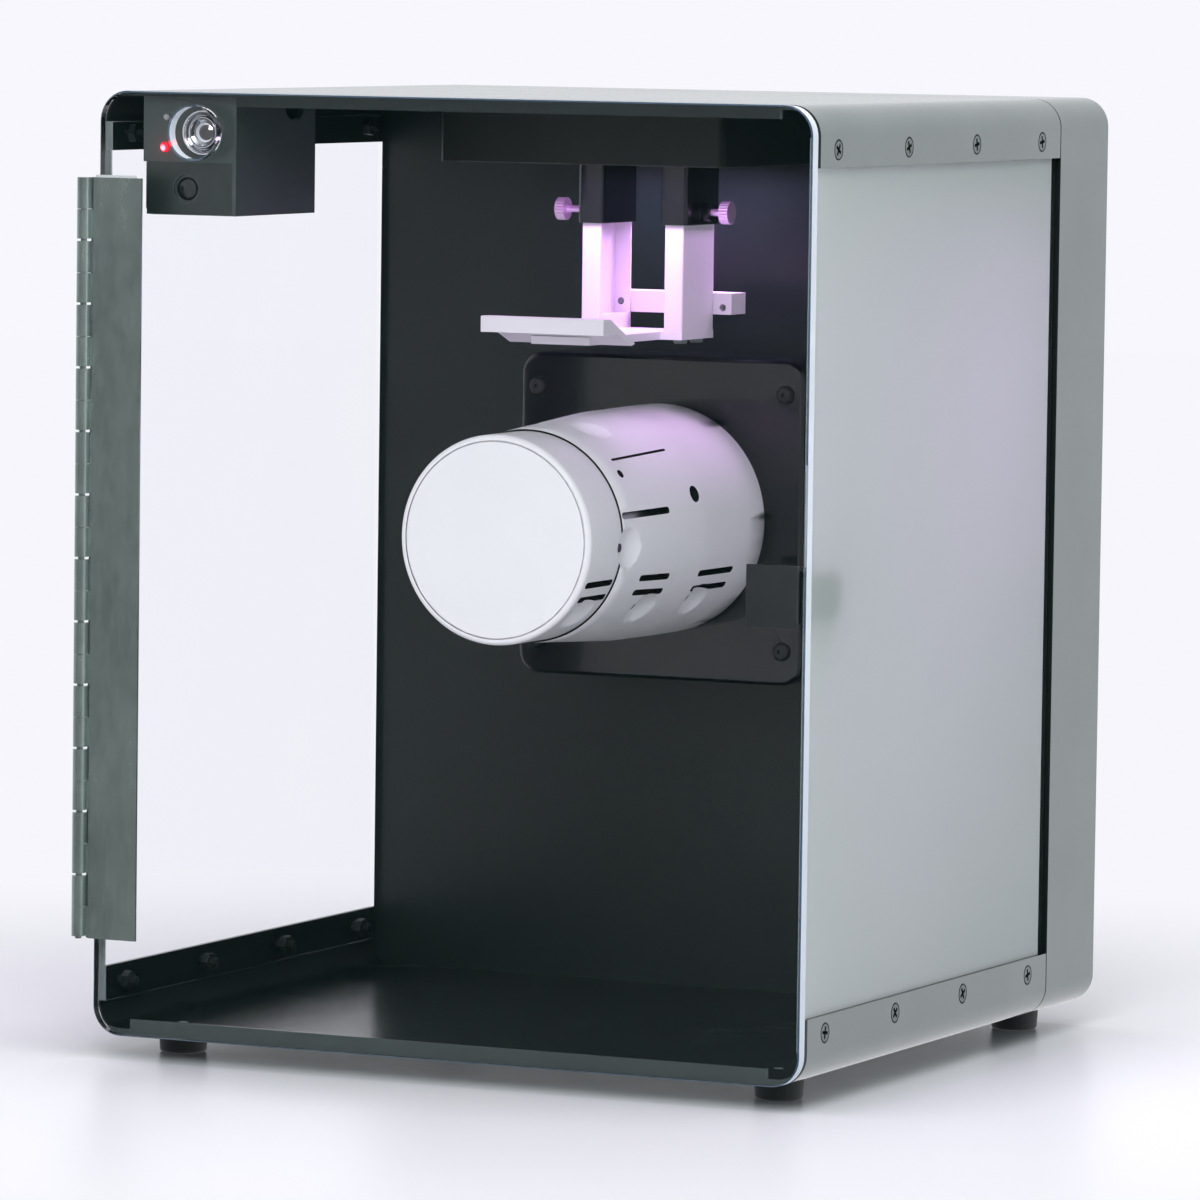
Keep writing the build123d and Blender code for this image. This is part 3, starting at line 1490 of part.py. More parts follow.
def make_rocker_paddle(axle_y, inner_width, inner_height, axle_half):
    """Rocker drawn level, then tilted to its off position about its axle."""
    tilt = math.radians(rocker_tilt)
    reach = (inner_width - rocker_gap - rocker_axle_depth * math.sin(tilt)) / math.cos(tilt)
    crest = rocker_lift + rocker_axle_depth
    outline = Polyline(
        (-reach, crest),
        (-reach, 0),
        (-rocker_keel_half, -rocker_keel_drop),
        (rocker_keel_half, -rocker_keel_drop),
        (reach, 0),
        (reach, crest),
    )
    dish = ThreePointArc((reach, crest), (0, crest - rocker_dish), (-reach, crest))
    paddle = extrude(make_face([outline, dish]), amount=2 * (inner_height - rocker_gap))
    paddle = Pos(0, 0, -(inner_height - rocker_gap)) * paddle
    paddle += Cylinder(rocker_axle_radius, 2 * (axle_half - thread_clearance))
    return Pos(inlet_x, axle_y, rocker_z) * Rot(0, 0, rocker_tilt) * paddle


def make_power_supply():
    """Cased power supply on the back wall, with slots in its lid."""
    x0 = supply_x - supply_width / 2
    x1 = supply_x + supply_width / 2
    z0 = supply_z - supply_height / 2
    z1 = supply_z + supply_height / 2
    y1 = wall_back_y + supply_depth
    wall = supply_lid
    case = block(x0, x1, wall_back_y, y1, z0, z1)
    case -= block(x0 + wall, x1 - wall, wall_back_y + wall, y1 - wall, z0 + wall, z1 - wall)
    first = -(supply_slots - 1) / 2
    for index in range(supply_slots):
        z = supply_z + (first + index) * supply_slot_pitch
        slot = Pos(supply_x, z) * SlotOverall(supply_width * 0.6, supply_slot_pitch / 3)
        case -= slab_y(slot, y1 - supply_lid, y1)
    keep("power_supply", case)


def make_driver_board():
    """Driver board on its standoffs, with its larger parts."""
    x0 = driver_board_x - driver_board_width / 2
    x1 = driver_board_x + driver_board_width / 2
    z0 = driver_board_z - driver_board_height / 2
    z1 = driver_board_z + driver_board_height / 2
    y0 = wall_back_y + standoff_height
    y1 = y0 + board_sheet
    board = block(x0, x1, y0, y1, z0, z1)
    for share, width, height, depth in driver_parts:
        part_place = Pos(driver_board_x + share * driver_board_width, y1 + depth / 2, driver_board_z)
        board += part_place * Box(width, depth, height)
    for x, z in board_corner_places():
        board -= rod_y(x, z, peg_radius + thread_clearance, y0, y1)
    keep("driver_board", board)


def make_supply_lead(inlet_front_y):
    """Mains lead from the back of the inlet to the side of the power supply."""
    supply_side_x = supply_x - supply_width / 2
    supply_y = wall_back_y + supply_depth / 2
    start = (inlet_x, inlet_front_y, inlet_z)
    path = FilletPolyline(
        start,
        (inlet_x, inlet_front_y - lead_in, inlet_z),
        (inlet_x + 2 * lead_in, supply_y, inlet_z - lead_drop),
        (supply_side_x - 2 * lead_in, supply_y, inlet_z - lead_drop),
        (supply_side_x - lead_in, supply_y, supply_z - 1.5 * lead_drop),
        (supply_side_x, supply_y, supply_z - 1.5 * lead_drop),
        radius=list(lead_bends),
    )
    section = Plane(origin=start, z_dir=(0, -1, 0)) * Circle(lead_radius)
    keep("supply_lead", sweep(section, path))


def build_cabinet():
    """Make every piece."""
    make_wraps()
    make_rear_shell()
    make_back_wall()
    make_back_cover()
    make_side_panels()
    make_feet()
    make_door()
    make_hinge()
    make_catch()
    make_control_housing()
    make_lower_plate()
    make_start_button()
    make_indicators()
    make_control_board(make_lower_button())
    make_lamp_box()
    make_lamps()
    make_ceiling_screws()
    make_hanger()
    make_base_box()
    make_pod()
    make_core_and_fan()
    inlet_front_y = make_inlet()
    make_rocker()
    make_power_supply()
    make_driver_board()
    make_supply_lead(inlet_front_y)


build_cabinet()
whole = Compound([solid for solids in pieces.values() for solid in solids]).bounding_box()
origin = Vector(whole.center().X, whole.center().Y, whole.min.Z)
os.makedirs("parts", exist_ok=True)
for name, solids in pieces.items():
    moved = [Pos(-origin.X, -origin.Y, -origin.Z) * solid for solid in solids]
    export_step(Compound(moved), f"parts/{name}.step")
print("size", whole.size.X, whole.size.Y, whole.size.Z)
print("origin", origin.X, origin.Y, origin.Z)
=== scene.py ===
import json
import math

import bmesh
import bpy
from mathutils import Matrix, Vector

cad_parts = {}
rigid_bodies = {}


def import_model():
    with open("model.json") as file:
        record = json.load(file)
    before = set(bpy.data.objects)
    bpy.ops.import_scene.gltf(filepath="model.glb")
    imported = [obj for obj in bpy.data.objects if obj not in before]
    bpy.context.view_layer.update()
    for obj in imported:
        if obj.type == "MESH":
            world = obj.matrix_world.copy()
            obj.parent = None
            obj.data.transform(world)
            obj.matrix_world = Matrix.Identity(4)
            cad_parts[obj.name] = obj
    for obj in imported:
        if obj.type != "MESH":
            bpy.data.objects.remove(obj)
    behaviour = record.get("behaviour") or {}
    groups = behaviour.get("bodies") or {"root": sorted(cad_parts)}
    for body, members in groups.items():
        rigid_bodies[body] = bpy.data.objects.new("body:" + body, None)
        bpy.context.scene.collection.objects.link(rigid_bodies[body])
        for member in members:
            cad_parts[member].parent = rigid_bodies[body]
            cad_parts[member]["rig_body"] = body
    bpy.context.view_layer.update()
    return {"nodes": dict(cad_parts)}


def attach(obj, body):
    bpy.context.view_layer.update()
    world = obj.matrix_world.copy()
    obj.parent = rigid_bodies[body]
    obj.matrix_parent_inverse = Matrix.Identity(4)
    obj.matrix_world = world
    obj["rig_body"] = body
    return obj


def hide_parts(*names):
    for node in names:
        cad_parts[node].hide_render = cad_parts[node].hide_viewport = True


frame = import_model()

# Looks of the UV disinfection cabinet. Lengths are in millimetres, in the cabinet's own coordinates:
# x from the middle of the shell, y from the front edges of its wraps and z from the floor. row()
# carries a place into the frame that the solids share.

MM = 0.001
FRAME_SHIFT = Vector((1.95, -142.8916, 0.0))
TO_FRAME = Matrix.Scale(MM, 4) @ Matrix.Translation(FRAME_SHIFT)

# Camera
IMAGE_SIDE = 1200
FOCAL_PIXELS = 7975.9
SENSOR_WIDTH = 36.0
CAMERA_PLACE = Vector((1.39185, -2.93559, 0.4413))
CAMERA_AZIMUTH = math.radians(25.362)
CAMERA_PITCH = math.radians(4.569)
CAMERA_ROLL = math.radians(0.762)

# Shell
SHELL_HALF_WIDTH = 157.0
SHELL_BOTTOM = 10.0
SHELL_TOP = 388.0
SHELL_MIDDLE = (SHELL_BOTTOM + SHELL_TOP) / 2

# Flange screws and nuts
FLANGE_SCREW_ROWS = 4
FLANGE_SCREW_FIRST = 17.0
FLANGE_SCREW_PITCH = 68.667
FLANGE_SCREW_LOW = 29.2
FLANGE_SCREW_HIGH = 370.8
FLANGE_HEAD_RADIUS = 4.0
HEAD_SEAM = 0.5
FLANGE_HEAD_HEIGHT = 2.1
FLANGE_SHANK_RADIUS = 2.0
FLANGE_SHANK_LENGTH = 11.0
CROSS_WIDTH = 1.3
CROSS_LENGTH = 5.0
CROSS_DEPTH = 1.7
SCREW_STEPS = 40
THREAD_PITCH = 0.7
THREAD_DEPTH = 0.3
NUT_WIDTH = 7.0
NUT_HEIGHT = 3.2
NUT_BORE = 2.1
NUT_STEPS = 48

# Feet
FOOT_PLACES = ((-132.0, 30.0), (132.0, 30.0), (-132.0, 270.0), (132.0, 270.0))
FOOT_HEIGHT = 10.0
FOOT_TOP_RADIUS = 10.25
FOOT_BOTTOM_RADIUS = 9.5
FOOT_ROUND = 1.5
FOOT_BORE_RADIUS = 5.0
FOOT_BORE_DEPTH = 6.0

# Door and side panels
DOOR_LEFT = -153.0
DOOR_FRONT = -8.0
DOOR_SHEET = 6.0
DOOR_CORNER = 12.0
DOOR_HOLE_RADIUS = 10.5
DOOR_EDGE = 0.6
DOOR_CLOSING_SIDE = 0.2
PANEL_INNER = 152.0
PANEL_SHEET = 3.0
PANEL_FRONT = 1.0
PANEL_REAR = 238.5
PANEL_BOTTOM = 22.4
PANEL_TOP = 375.6
PANEL_EDGE = 0.3
PANEL_HOLE_RADIUS = 2.2

# Start button and the small button below it
BUTTON_X = -111.4
BUTTON_Z = 372.0
BUTTON_SEAT = 4.0
BEZEL_RADIUS = 9.0
BEZEL_LEAD = 4.0
BARREL_RADIUS = 8.0
BARREL_LENGTH = 24.0
BARREL_BORE = 6.55
BARREL_FLOOR = -4.9
BARREL_PITCH = 0.8
BARREL_THREAD = 0.4
CAP_RADIUS = 6.25
CAP_LENGTH = 6.0
CAP_RECESS = 0.3
CAP_DISH = 1.7
CAP_RIM = 1.15
DOME_X = -120.3
DOME_Z = 349.4
DOME_FRONT = 4.3
DOME_RADIUS = 4.35
DOME_FLANGE_Y = 7.3
DOME_FLANGE_RADIUS = 5.4
DOME_FLANGE_HEIGHT = 1.5
DOME_STEM_RADIUS = 2.5
DOME_STEM_LENGTH = 17.0
LIT_LAMP = (-129.8, 3.0, 365.9)

# Pod
POD_Z = 212.3
POD_FRONT = 41.5
POD_INNER_SKIN = 38.4

# Finish: distances in metres, angles in degrees and a colour in screen values
MERGE_DISTANCE = 2e-6
FLAT_ANGLE = 0.5
BEVEL_ANGLE = 50
SOFT_ANGLE = 35.0
PATCH_SCALE = 18.0
GRAIN_HEIGHT = 0.00008
LINE_HEIGHT = 0.00005
DUST_COLOUR = (170, 172, 176)

# Studio: metres, but for the light under the lamp box
FLOOR_RADIUS = 6.0
FLOOR_FADE = (0.24, 0.62)
FLOOR_SHADE_REACH = 0.12
WINDOW_LIGHT_Z = 357.0

# Pan-head screws: flat and cross as shares of the head's radius, then each node with its head's
# radius and height and its shank's radius and length
PAN_FLAT = 0.72
PAN_CROSS_SHARE = 0.25
PAN_SCREWS = (
    ("ceiling_screws", 2.8, 1.8, 1.5, 3.55),
    ("cover_screws", 2.8, 1.8, 1.5, 6.0),
    ("foot_screws", 4.0, 2.5, 2.0, 6.0),
    ("hanger_screws", 2.8, 1.8, 1.5, 8.0),
    ("pod_screws", 2.8, 1.8, 1.5, 12.0),
)


def row(x, y, z):
    """Place in the cabinet's coordinates, as a place in the shared frame."""
    return (Vector((x, y, z)) + FRAME_SHIFT) * MM


def add_object(name, data):
    """Object in the scene with its data."""
    item = bpy.data.objects.new(name, data)
    bpy.context.scene.collection.objects.link(item)
    return item


# Camera and light


def add_camera():
    """Camera at the photograph's angle."""
    lens = bpy.data.cameras.new("camera")
    lens.sensor_fit = "HORIZONTAL"
    lens.sensor_width = SENSOR_WIDTH
    lens.lens = FOCAL_PIXELS / IMAGE_SIDE * SENSOR_WIDTH
    camera = add_object("camera", lens)
    pitched = Matrix.Rotation(math.pi / 2 - CAMERA_PITCH, 4, "X") @ Matrix.Rotation(CAMERA_ROLL, 4, "Z")
    turned_to = Matrix.Rotation(CAMERA_AZIMUTH, 4, "Z") @ pitched
    camera.matrix_world = Matrix.Translation(CAMERA_PLACE) @ turned_to
    bpy.context.scene.camera = camera


def add_soft_light(name, place, aim, width, height, power, colour=(1.0, 1.0, 1.0)):
    """Rectangular soft light, turned towards a point."""
    lamp = bpy.data.lights.new(name, "AREA")
    lamp.shape = "RECTANGLE"
    lamp.size = width
    lamp.size_y = height
    lamp.energy = power
    lamp.color = colour
    light = add_object(name, lamp)
    light.location = place
    light.rotation_euler = (Vector(aim) - Vector(place)).to_track_quat("-Z", "Y").to_euler()
    light.visible_transmission = False
    return light


def add_lights():
    """Studio lights round the cabinet."""
    middle = (0.0, 0.0, 0.2)
    add_soft_light("top light", (0.5, -0.6, 1.5), middle, 1.6, 1.4, 15.0)
    add_soft_light("right light", (1.7, 0.2, 0.65), middle, 1.2, 1.2, 2.5)
    add_soft_light("front light", (0.6, -1.8, 1.3), middle, 0.8, 0.8, 15.0)


# Node helpers


def feed(tree, node, inputs):
    """Set a node's inputs to values, or join them to the outputs of other nodes."""
    for socket, value in inputs.items():
        if isinstance(value, bpy.types.NodeSocket):
            tree.links.new(value, node.inputs[socket])
        else:
            node.inputs[socket].default_value = value


def add_node(tree, kind, inputs=None, **settings):
    """New node with its settings and inputs."""
    node = tree.nodes.new(kind)
    for name, value in settings.items():
        setattr(node, name, value)
    feed(tree, node, inputs or {})
    return node


def colour(red, green, blue):
    """Colour given in screen values from 0 to 255, as linear light."""
    linear = []
    for value in (red, green, blue):
        share = value / 255
        linear.append(share / 12.92 if share <= 0.04045 else ((share + 0.055) / 1.055) ** 2.4)
    return (*linear, 1.0)


def noise(tree, vector, scale, detail, roughness):
    """Output of a noise texture."""
    return add_node(tree, "ShaderNodeTexNoise", {
        "Vector": vector, "Scale": scale, "Detail": detail, "Roughness": roughness
    }).outputs["Fac"]


def ranged(tree, value, low, high, first=0.0, last=1.0, **settings):
    """Value carried from the range low to high to the range first to last."""
    return add_node(tree, "ShaderNodeMapRange", {
        "Value": value, "From Min": low, "From Max": high, "To Min": first, "To Max": last
    }, **settings).outputs["Result"]


def reckoned(tree, operation, *values):
    """Result of an operation on numbers."""
    return add_node(tree, "ShaderNodeMath", dict(enumerate(values)), operation=operation).outputs["Value"]


def blended(tree, share, first, second):
    """Colour between two colours."""
    values = {"Factor": share, "A": first, "B": second}
    return add_node(tree, "ShaderNodeMix", values, data_type="RGBA").outputs["Result"]


def mixed(tree, share, first, second):
    """Surface between two surfaces."""
    return add_node(tree, "ShaderNodeMixShader", {"Fac": share, 1: first, 2: second}).outputs["Shader"]


def seen_directly(tree):
    """1 on rays from the camera and on rays through clear sheets."""
    path = add_node(tree, "ShaderNodeLightPath").outputs
    return reckoned(tree, "MAXIMUM", path["Is Camera Ray"], path["Is Transmission Ray"])


def new_group(name, inputs, outputs):
    """Shader node group: its tree, the sockets it is given and the node for those it makes."""
    tree = bpy.data.node_groups.new(name, "ShaderNodeTree")
    for label, kind, value in inputs:
        socket = tree.interface.new_socket(name=label, in_out="INPUT", socket_type="NodeSocket" + kind)
        if value is not None:
            socket.default_value = value
    for label, kind in outputs:
        tree.interface.new_socket(name=label, in_out="OUTPUT", socket_type="NodeSocket" + kind)
    return tree, tree.nodes.new("NodeGroupInput").outputs, tree.nodes.new("NodeGroupOutput")


def make_grain_group():
    """Fine grain with broad soft patches, for paint, plastic and rubber."""
    tree, given, made = new_group(
        "surface grain",
        [
            ("Vector", "Vector", None),
            ("Grain Scale", "Float", 900.0), ("Patch Scale", "Float", PATCH_SCALE),
            ("Colour", "Color", (0.5, 0.5, 0.5, 1)), ("Patch Colour", "Color", (0.4, 0.4, 0.4, 1)),
            ("Roughness Low", "Float", 0.3), ("Roughness High", "Float", 0.4),
        ],
        [("Colour", "Color"), ("Roughness", "Float"), ("Height", "Float")],
    )
    fine = noise(tree, given["Vector"], given["Grain Scale"], 2.0, 0.6)
    broad = noise(tree, given["Vector"], given["Patch Scale"], 3.0, 0.55)
    patches = ranged(tree, broad, 0.32, 0.68)
    both = reckoned(tree, "MULTIPLY_ADD", fine, 0.5, reckoned(tree, "MULTIPLY", broad, 0.5))
    feed(tree, made, {
        "Colour": blended(tree, patches, given["Colour"], given["Patch Colour"]),
        "Roughness": ranged(tree, both, 0.3, 0.7, given["Roughness Low"], given["Roughness High"]),
        "Height": fine,
    })
    return tree


def make_wear_or_highlight_group():
    """Mask of sharp edges, broken up by noise: scuffs on most finishes, a painted highlight along the edges
    on some.
    """
    tree, given, made = new_group(
        "edge wear",
        [("Vector", "Vector", None), ("Radius", "Float", 0.0006), ("Amount", "Float", 0.5)],
        [("Mask", "Float")],
    )
    rounded = add_node(tree, "ShaderNodeBevel", {"Radius": given["Radius"]}, samples=4)
    place = add_node(tree, "ShaderNodeNewGeometry")
    facing = add_node(tree, "ShaderNodeVectorMath", {
        0: rounded.outputs["Normal"], 1: place.outputs["Normal"]
    }, operation="DOT_PRODUCT")
    edge = ranged(tree, facing.outputs["Value"], 0.99, 0.8)
    patches = ranged(tree, noise(tree, given["Vector"], 160.0, 3.0, 0.7), 0.35, 0.65, 0.15, 1.0)
    both = reckoned(tree, "MULTIPLY", edge, patches)
    feed(tree, made, {"Mask": reckoned(tree, "MULTIPLY", both, given["Amount"])})
    return tree


def make_dust_group():
    """Mask of fine dust that has settled on faces that look up."""
    tree, given, made = new_group(
        "settled dust",
        [("Vector", "Vector", None), ("Scale", "Float", 240.0), ("Amount", "Float", 0.2)],
        [("Mask", "Float")],
    )
    place = add_node(tree, "ShaderNodeNewGeometry")
    parts = add_node(tree, "ShaderNodeSeparateXYZ", {"Vector": place.outputs["Normal"]})
    upward = ranged(tree, parts.outputs["Z"], 0.2, 1.0, 0.05, 1.0)
    grains = ranged(tree, noise(tree, given["Vector"], given["Scale"], 5.0, 0.75), 0.42, 0.72)
    both = reckoned(tree, "MULTIPLY", upward, grains)
    feed(tree, made, {"Mask": reckoned(tree, "MULTIPLY", both, given["Amount"])})
    return tree


def make_brush_group():
    """Long fine lines of brushed or ground metal, along the direction that is stretched least."""
    tree, given, made = new_group(
        "brushed lines",
        [
            ("Vector", "Vector", None), ("Line Scale", "Vector", (1.0, 1.0, 1.0)),
            ("Roughness Low", "Float", 0.2), ("Roughness High", "Float", 0.4),
        ],
        [("Shade", "Float"), ("Roughness", "Float"), ("Height", "Float")],
    )
    stretched = add_node(tree, "ShaderNodeVectorMath", {
        0: given["Vector"], 1: given["Line Scale"]
    }, operation="MULTIPLY")
    lines = noise(tree, stretched.outputs["Vector"], 1.0, 4.0, 0.7)
    feed(tree, made, {
        "Shade": ranged(tree, lines, 0.3, 0.7),
        "Roughness": ranged(tree, lines, 0.3, 0.7, given["Roughness Low"], given["Roughness High"]),
        "Height": lines,
    })
    return tree


GRAIN = make_grain_group()
WEAR_OR_HIGHLIGHT = make_wear_or_highlight_group()
DUST = make_dust_group()
BRUSH = make_brush_group()


# Materials


def new_material(name):
    """Material with its tree, its shader and the object's coordinates."""
    material = bpy.data.materials.new(name)
    material.use_nodes = True
    tree = material.node_tree
    place = add_node(tree, "ShaderNodeTexCoord").outputs["Object"]
    return material, tree, tree.nodes["Principled BSDF"], place


def set_surface(tree, surface):
    """Give a material its surface."""
    feed(tree, tree.nodes["Material Output"], {"Surface": surface})


def add_group(tree, group, place, values):
    """Outputs of a group in a material, with the object's coordinates and its own values."""
    return add_node(tree, "ShaderNodeGroup", {"Vector": place, **values}, node_tree=group).outputs


def add_grain(tree, place, main, patch, rough, grain, patches=PATCH_SCALE):
    """Outputs of the grain group for two colours, a range of roughness and two scales."""
    return add_group(tree, GRAIN, place, {
        "Grain Scale": grain, "Patch Scale": patches, "Colour": colour(*main),
        "Patch Colour": colour(*patch), "Roughness Low": rough[0], "Roughness High": rough[1],
    })


def bumped(tree, height, strength, distance):
    """Normal of a bump from a height."""
    values = {"Height": height, "Strength": strength, "Distance": distance}
    return add_node(tree, "ShaderNodeBump", values).outputs["Normal"]


def coated(name, main, patch, rough, grain, bump, worn_or_highlit=None, wear=0.0, dust=0.12, specular=0.5,
           metal=0.0, coat=0.0, coat_rough=0.03):
    """Painted or moulded surface: grain, soft patches, scuffed edges or painted edge highlights, and a
    little dust.
    """
    material, tree, shader, place = new_material(name)
    base = add_grain(tree, place, main, patch, rough, grain)
    tint = base["Colour"]
    if worn_or_highlit:
        scuffed_or_highlit = add_group(tree, WEAR_OR_HIGHLIGHT, place, {"Amount": wear})["Mask"]
        tint = blended(tree, scuffed_or_highlit, tint, colour(*worn_or_highlit))
    if dust:
        settled = add_group(tree, DUST, place, {"Amount": dust})["Mask"]
        tint = blended(tree, settled, tint, colour(*DUST_COLOUR))
    feed(tree, shader, {
        "Base Color": tint, "Roughness": base["Roughness"], "Specular IOR Level": specular,
        "Metallic": metal, "Coat Weight": coat, "Coat Roughness": coat_rough,
        "Normal": bumped(tree, base["Height"], bump, GRAIN_HEIGHT),
    })
    return material


def brushed(name, light, dark, rough, lines, bump=0.15, metal=1.0):
    """Bare or tarnished metal with fine lines."""
    material, tree, shader, place = new_material(name)
    marks = add_group(tree, BRUSH, place, {
        "Line Scale": lines, "Roughness Low": rough[0], "Roughness High": rough[1]
    })
    feed(tree, shader, {
        "Base Color": blended(tree, marks["Shade"], colour(*dark), colour(*light)),
        "Roughness": marks["Roughness"], "Metallic": metal,
        "Normal": bumped(tree, marks["Height"], bump, LINE_HEIGHT),
    })
    return material


def clear(name, tint, patch, bend, painted_sheen=0.0, rough=(0.0, 0.05), through=0.0):
    """Clear sheet with faint wipe marks, and a share of cloudy white on the faces seen from outside: a
    painted sheen for reflections and lit edges.

    Part of that painted sheen can let light through from behind.
    """
    material, tree, shader, place = new_material(name)
    marks = add_grain(tree, place, tint, patch, rough, 300.0, 9.0)
    feed(tree, shader, {
        "Base Color": (1.0, 1.0, 1.0, 1.0) if painted_sheen else marks["Colour"],
        "Roughness": marks["Roughness"], "Transmission Weight": 1.0, "IOR": bend,
    })
    surface = shader.outputs["BSDF"]
    if painted_sheen:
        front = add_node(tree, "ShaderNodeBsdfDiffuse", {"Color": marks["Colour"]})
        behind = add_node(tree, "ShaderNodeBsdfTranslucent", {"Color": colour(244, 246, 248)})
        sheen_surface = mixed(tree, through, front.outputs["BSDF"], behind.outputs["BSDF"])
        inside = add_node(tree, "ShaderNodeNewGeometry").outputs["Backfacing"]
        surface = mixed(tree, ranged(tree, inside, 0.0, 1.0, painted_sheen, 0.0), surface, sheen_surface)
    opened = add_node(tree, "ShaderNodeBsdfTransparent", {"Color": (0.92, 0.94, 0.95, 1.0)})
    shadow = add_node(tree, "ShaderNodeLightPath").outputs["Is Shadow Ray"]
    set_surface(tree, mixed(tree, shadow, surface, opened.outputs["BSDF"]))
    return material


def glowing(name, tint, glow, strength, centre=None, reach=1.0):
    """Lit lens, its glow colour in patches or else round a centre."""
    material, tree, shader, place = new_material(name)
    base = add_grain(tree, place, tint, glow, (0.12, 0.22), 2200.0, 420.0)
    tinted = base["Colour"]
    if centre:
        away = add_node(tree, "ShaderNodeVectorMath", {0: place, 1: centre}, operation="DISTANCE")
        near = ranged(tree, away.outputs["Value"], reach * 0.25, reach, 1.0, 0.0)
        tinted = blended(tree, near, colour(*tint), colour(*glow))
    feed(tree, shader, {
        "Base Color": tinted, "Roughness": base["Roughness"], "Emission Color": tinted,
        "Emission Strength": strength,
    })
    return material


# The shell is one dark paint; this grey on its outside is a painted sheen standing in for the bright studio
# it reflects.
SHELL_GREY_PAINTED_SHEEN = coated(
    "shell paint with painted sheen", (96, 108, 105), (91, 103, 100), (0.34, 0.44), 2600.0, 0.1, worn_or_highlit=(150, 158, 157),
    wear=0.4, dust=0.04, coat=0.75, coat_rough=0.12,
)
SHELL_BLACK = coated(
    "chamber black paint", (13, 24, 23), (10, 20, 19), (0.3, 0.4), 2600.0, 0.18, worn_or_highlit=(58, 70, 68),
    wear=0.3, dust=0.02, specular=0.32,
)
# The lamp box's bright edge colour is a painted highlight along its edges.
BENCH_BLACK = coated(
    "lamp box paint", (12, 18, 17), (9, 14, 13), (0.3, 0.4), 2400.0, 0.15, worn_or_highlit=(128, 134, 138),
    wear=1.0, dust=0.0, specular=0.25,
)
TRAY_BLACK = coated(
    "chamber floor paint", (9, 18, 17), (7, 15, 14), (0.2, 0.28), 2600.0, 0.06, worn_or_highlit=(58, 70, 68),
    wear=0.3, dust=0.0, specular=0.6,
)
BOX_GREY = coated(
    "control box paint", (46, 57, 56), (40, 50, 49), (0.36, 0.46), 2400.0, 0.2, worn_or_highlit=(96, 106, 106),
    wear=0.5, dust=0.05,
)
# The plate's light edge colour is a painted highlight along its edges.
PLATE_GREY = coated(
    "control plate paint", (22, 33, 31), (18, 28, 27), (0.3, 0.4), 2400.0, 0.15, worn_or_highlit=(120, 132, 130),
    wear=0.8, dust=0.02,
)
GLOSS_BLACK = coated(
    "gloss black paint", (9, 13, 16), (7, 10, 13), (0.1, 0.18), 1800.0, 0.06, worn_or_highlit=(110, 114, 120),
    wear=0.6, dust=0.02, coat=0.3, specular=0.3,
)
BLACK_PLASTIC = coated(
    "catch plastic", (9, 15, 16), (7, 12, 13), (0.36, 0.48), 1500.0, 0.3, dust=0.03, specular=0.3,
)
BLACK_STEEL = coated(
    "blackened steel", (36, 38, 40), (28, 30, 32), (0.3, 0.42), 1800.0, 0.15, worn_or_highlit=(120, 120, 122),
    wear=0.7, dust=0.0, metal=0.6,
)
FOOT_RUBBER = coated("foot rubber", (46, 53, 53), (39, 46, 46), (0.6, 0.75), 1200.0, 0.4)
WHITE_PLASTIC = coated(
    "pod white plastic", (220, 220, 223), (216, 217, 220), (0.3, 0.4), 1300.0, 0.16,
    worn_or_highlit=(240, 240, 244), wear=0.3, dust=0.02,
)
# Near black painted shade inside the white pod and in its slots.
POD_PAINTED_SHADE = coated(
    "pod inside in painted shade", (14, 15, 18), (10, 11, 14), (0.5, 0.6), 1300.0, 0.1, dust=0.0, specular=0.2,
)
WHITE_PAINT = coated(
    "hanger white paint", (222, 218, 226), (216, 212, 220), (0.32, 0.42), 2400.0, 0.2,
    worn_or_highlit=(236, 232, 240), wear=0.4, dust=0.03,
)
HINGE_STEEL = brushed(
    "hinge steel", (178, 194, 188), (150, 166, 160), (0.18, 0.28), (95.0, 95.0, 38.0), 0.04, metal=0.8,
)
SCREW_STEEL = coated(
    "screw plating", (104, 116, 113), (88, 99, 96), (0.34, 0.46), 1800.0, 0.1, worn_or_highlit=(128, 138, 135),
    wear=0.3, dust=0.0, metal=0.1,
)
# Near black painted shade for the seams, cross recesses and hidden shanks of screws.
SCREW_PAINTED_SHADE = coated(
    "screw recesses in painted shade", (16, 22, 22), (12, 17, 17), (0.5, 0.6), 900.0, 0.05, dust=0.0, specular=0.2,
)
# Nuts inside the chamber, painted near black as the shade they sit in.
NUT_PAINTED_SHADE = coated(
    "nut in painted shade", (18, 26, 26), (14, 21, 21), (0.4, 0.5), 1800.0, 0.15, worn_or_highlit=(50, 58, 58), wear=0.4,
    dust=0.0, specular=0.25,
)
# Steel thumb screws, their pink-violet colour a painted reflection of the lamp box's violet light.
THUMB_VIOLET_SHEEN = coated(
    "thumb screw with painted violet sheen", (236, 206, 240), (216, 184, 224), (0.12, 0.24), 1500.0, 0.05,
    worn_or_highlit=(236, 226, 240), wear=0.6, dust=0.0, metal=0.7,
)
SUPPLY_STEEL = brushed("plated sheet", (186, 190, 192), (160, 164, 168), (0.28, 0.44), (60.0, 60.0, 900.0))
CORE_METAL = brushed("core aluminium", (206, 208, 212), (178, 180, 186), (0.25, 0.42), (900.0, 20.0, 900.0))
PIN_BRASS = brushed("plated pins", (214, 196, 140), (180, 160, 104), (0.18, 0.3), (400.0, 400.0, 400.0))
BUTTON_CHROME = brushed(
    "polished chrome", (224, 226, 228), (206, 208, 212), (0.05, 0.12), (500.0, 500.0, 500.0), 0.03,
)
DOOR_CLEAR = clear("clear door sheet", (150, 216, 214), (140, 206, 206), 1.05, 0.005)
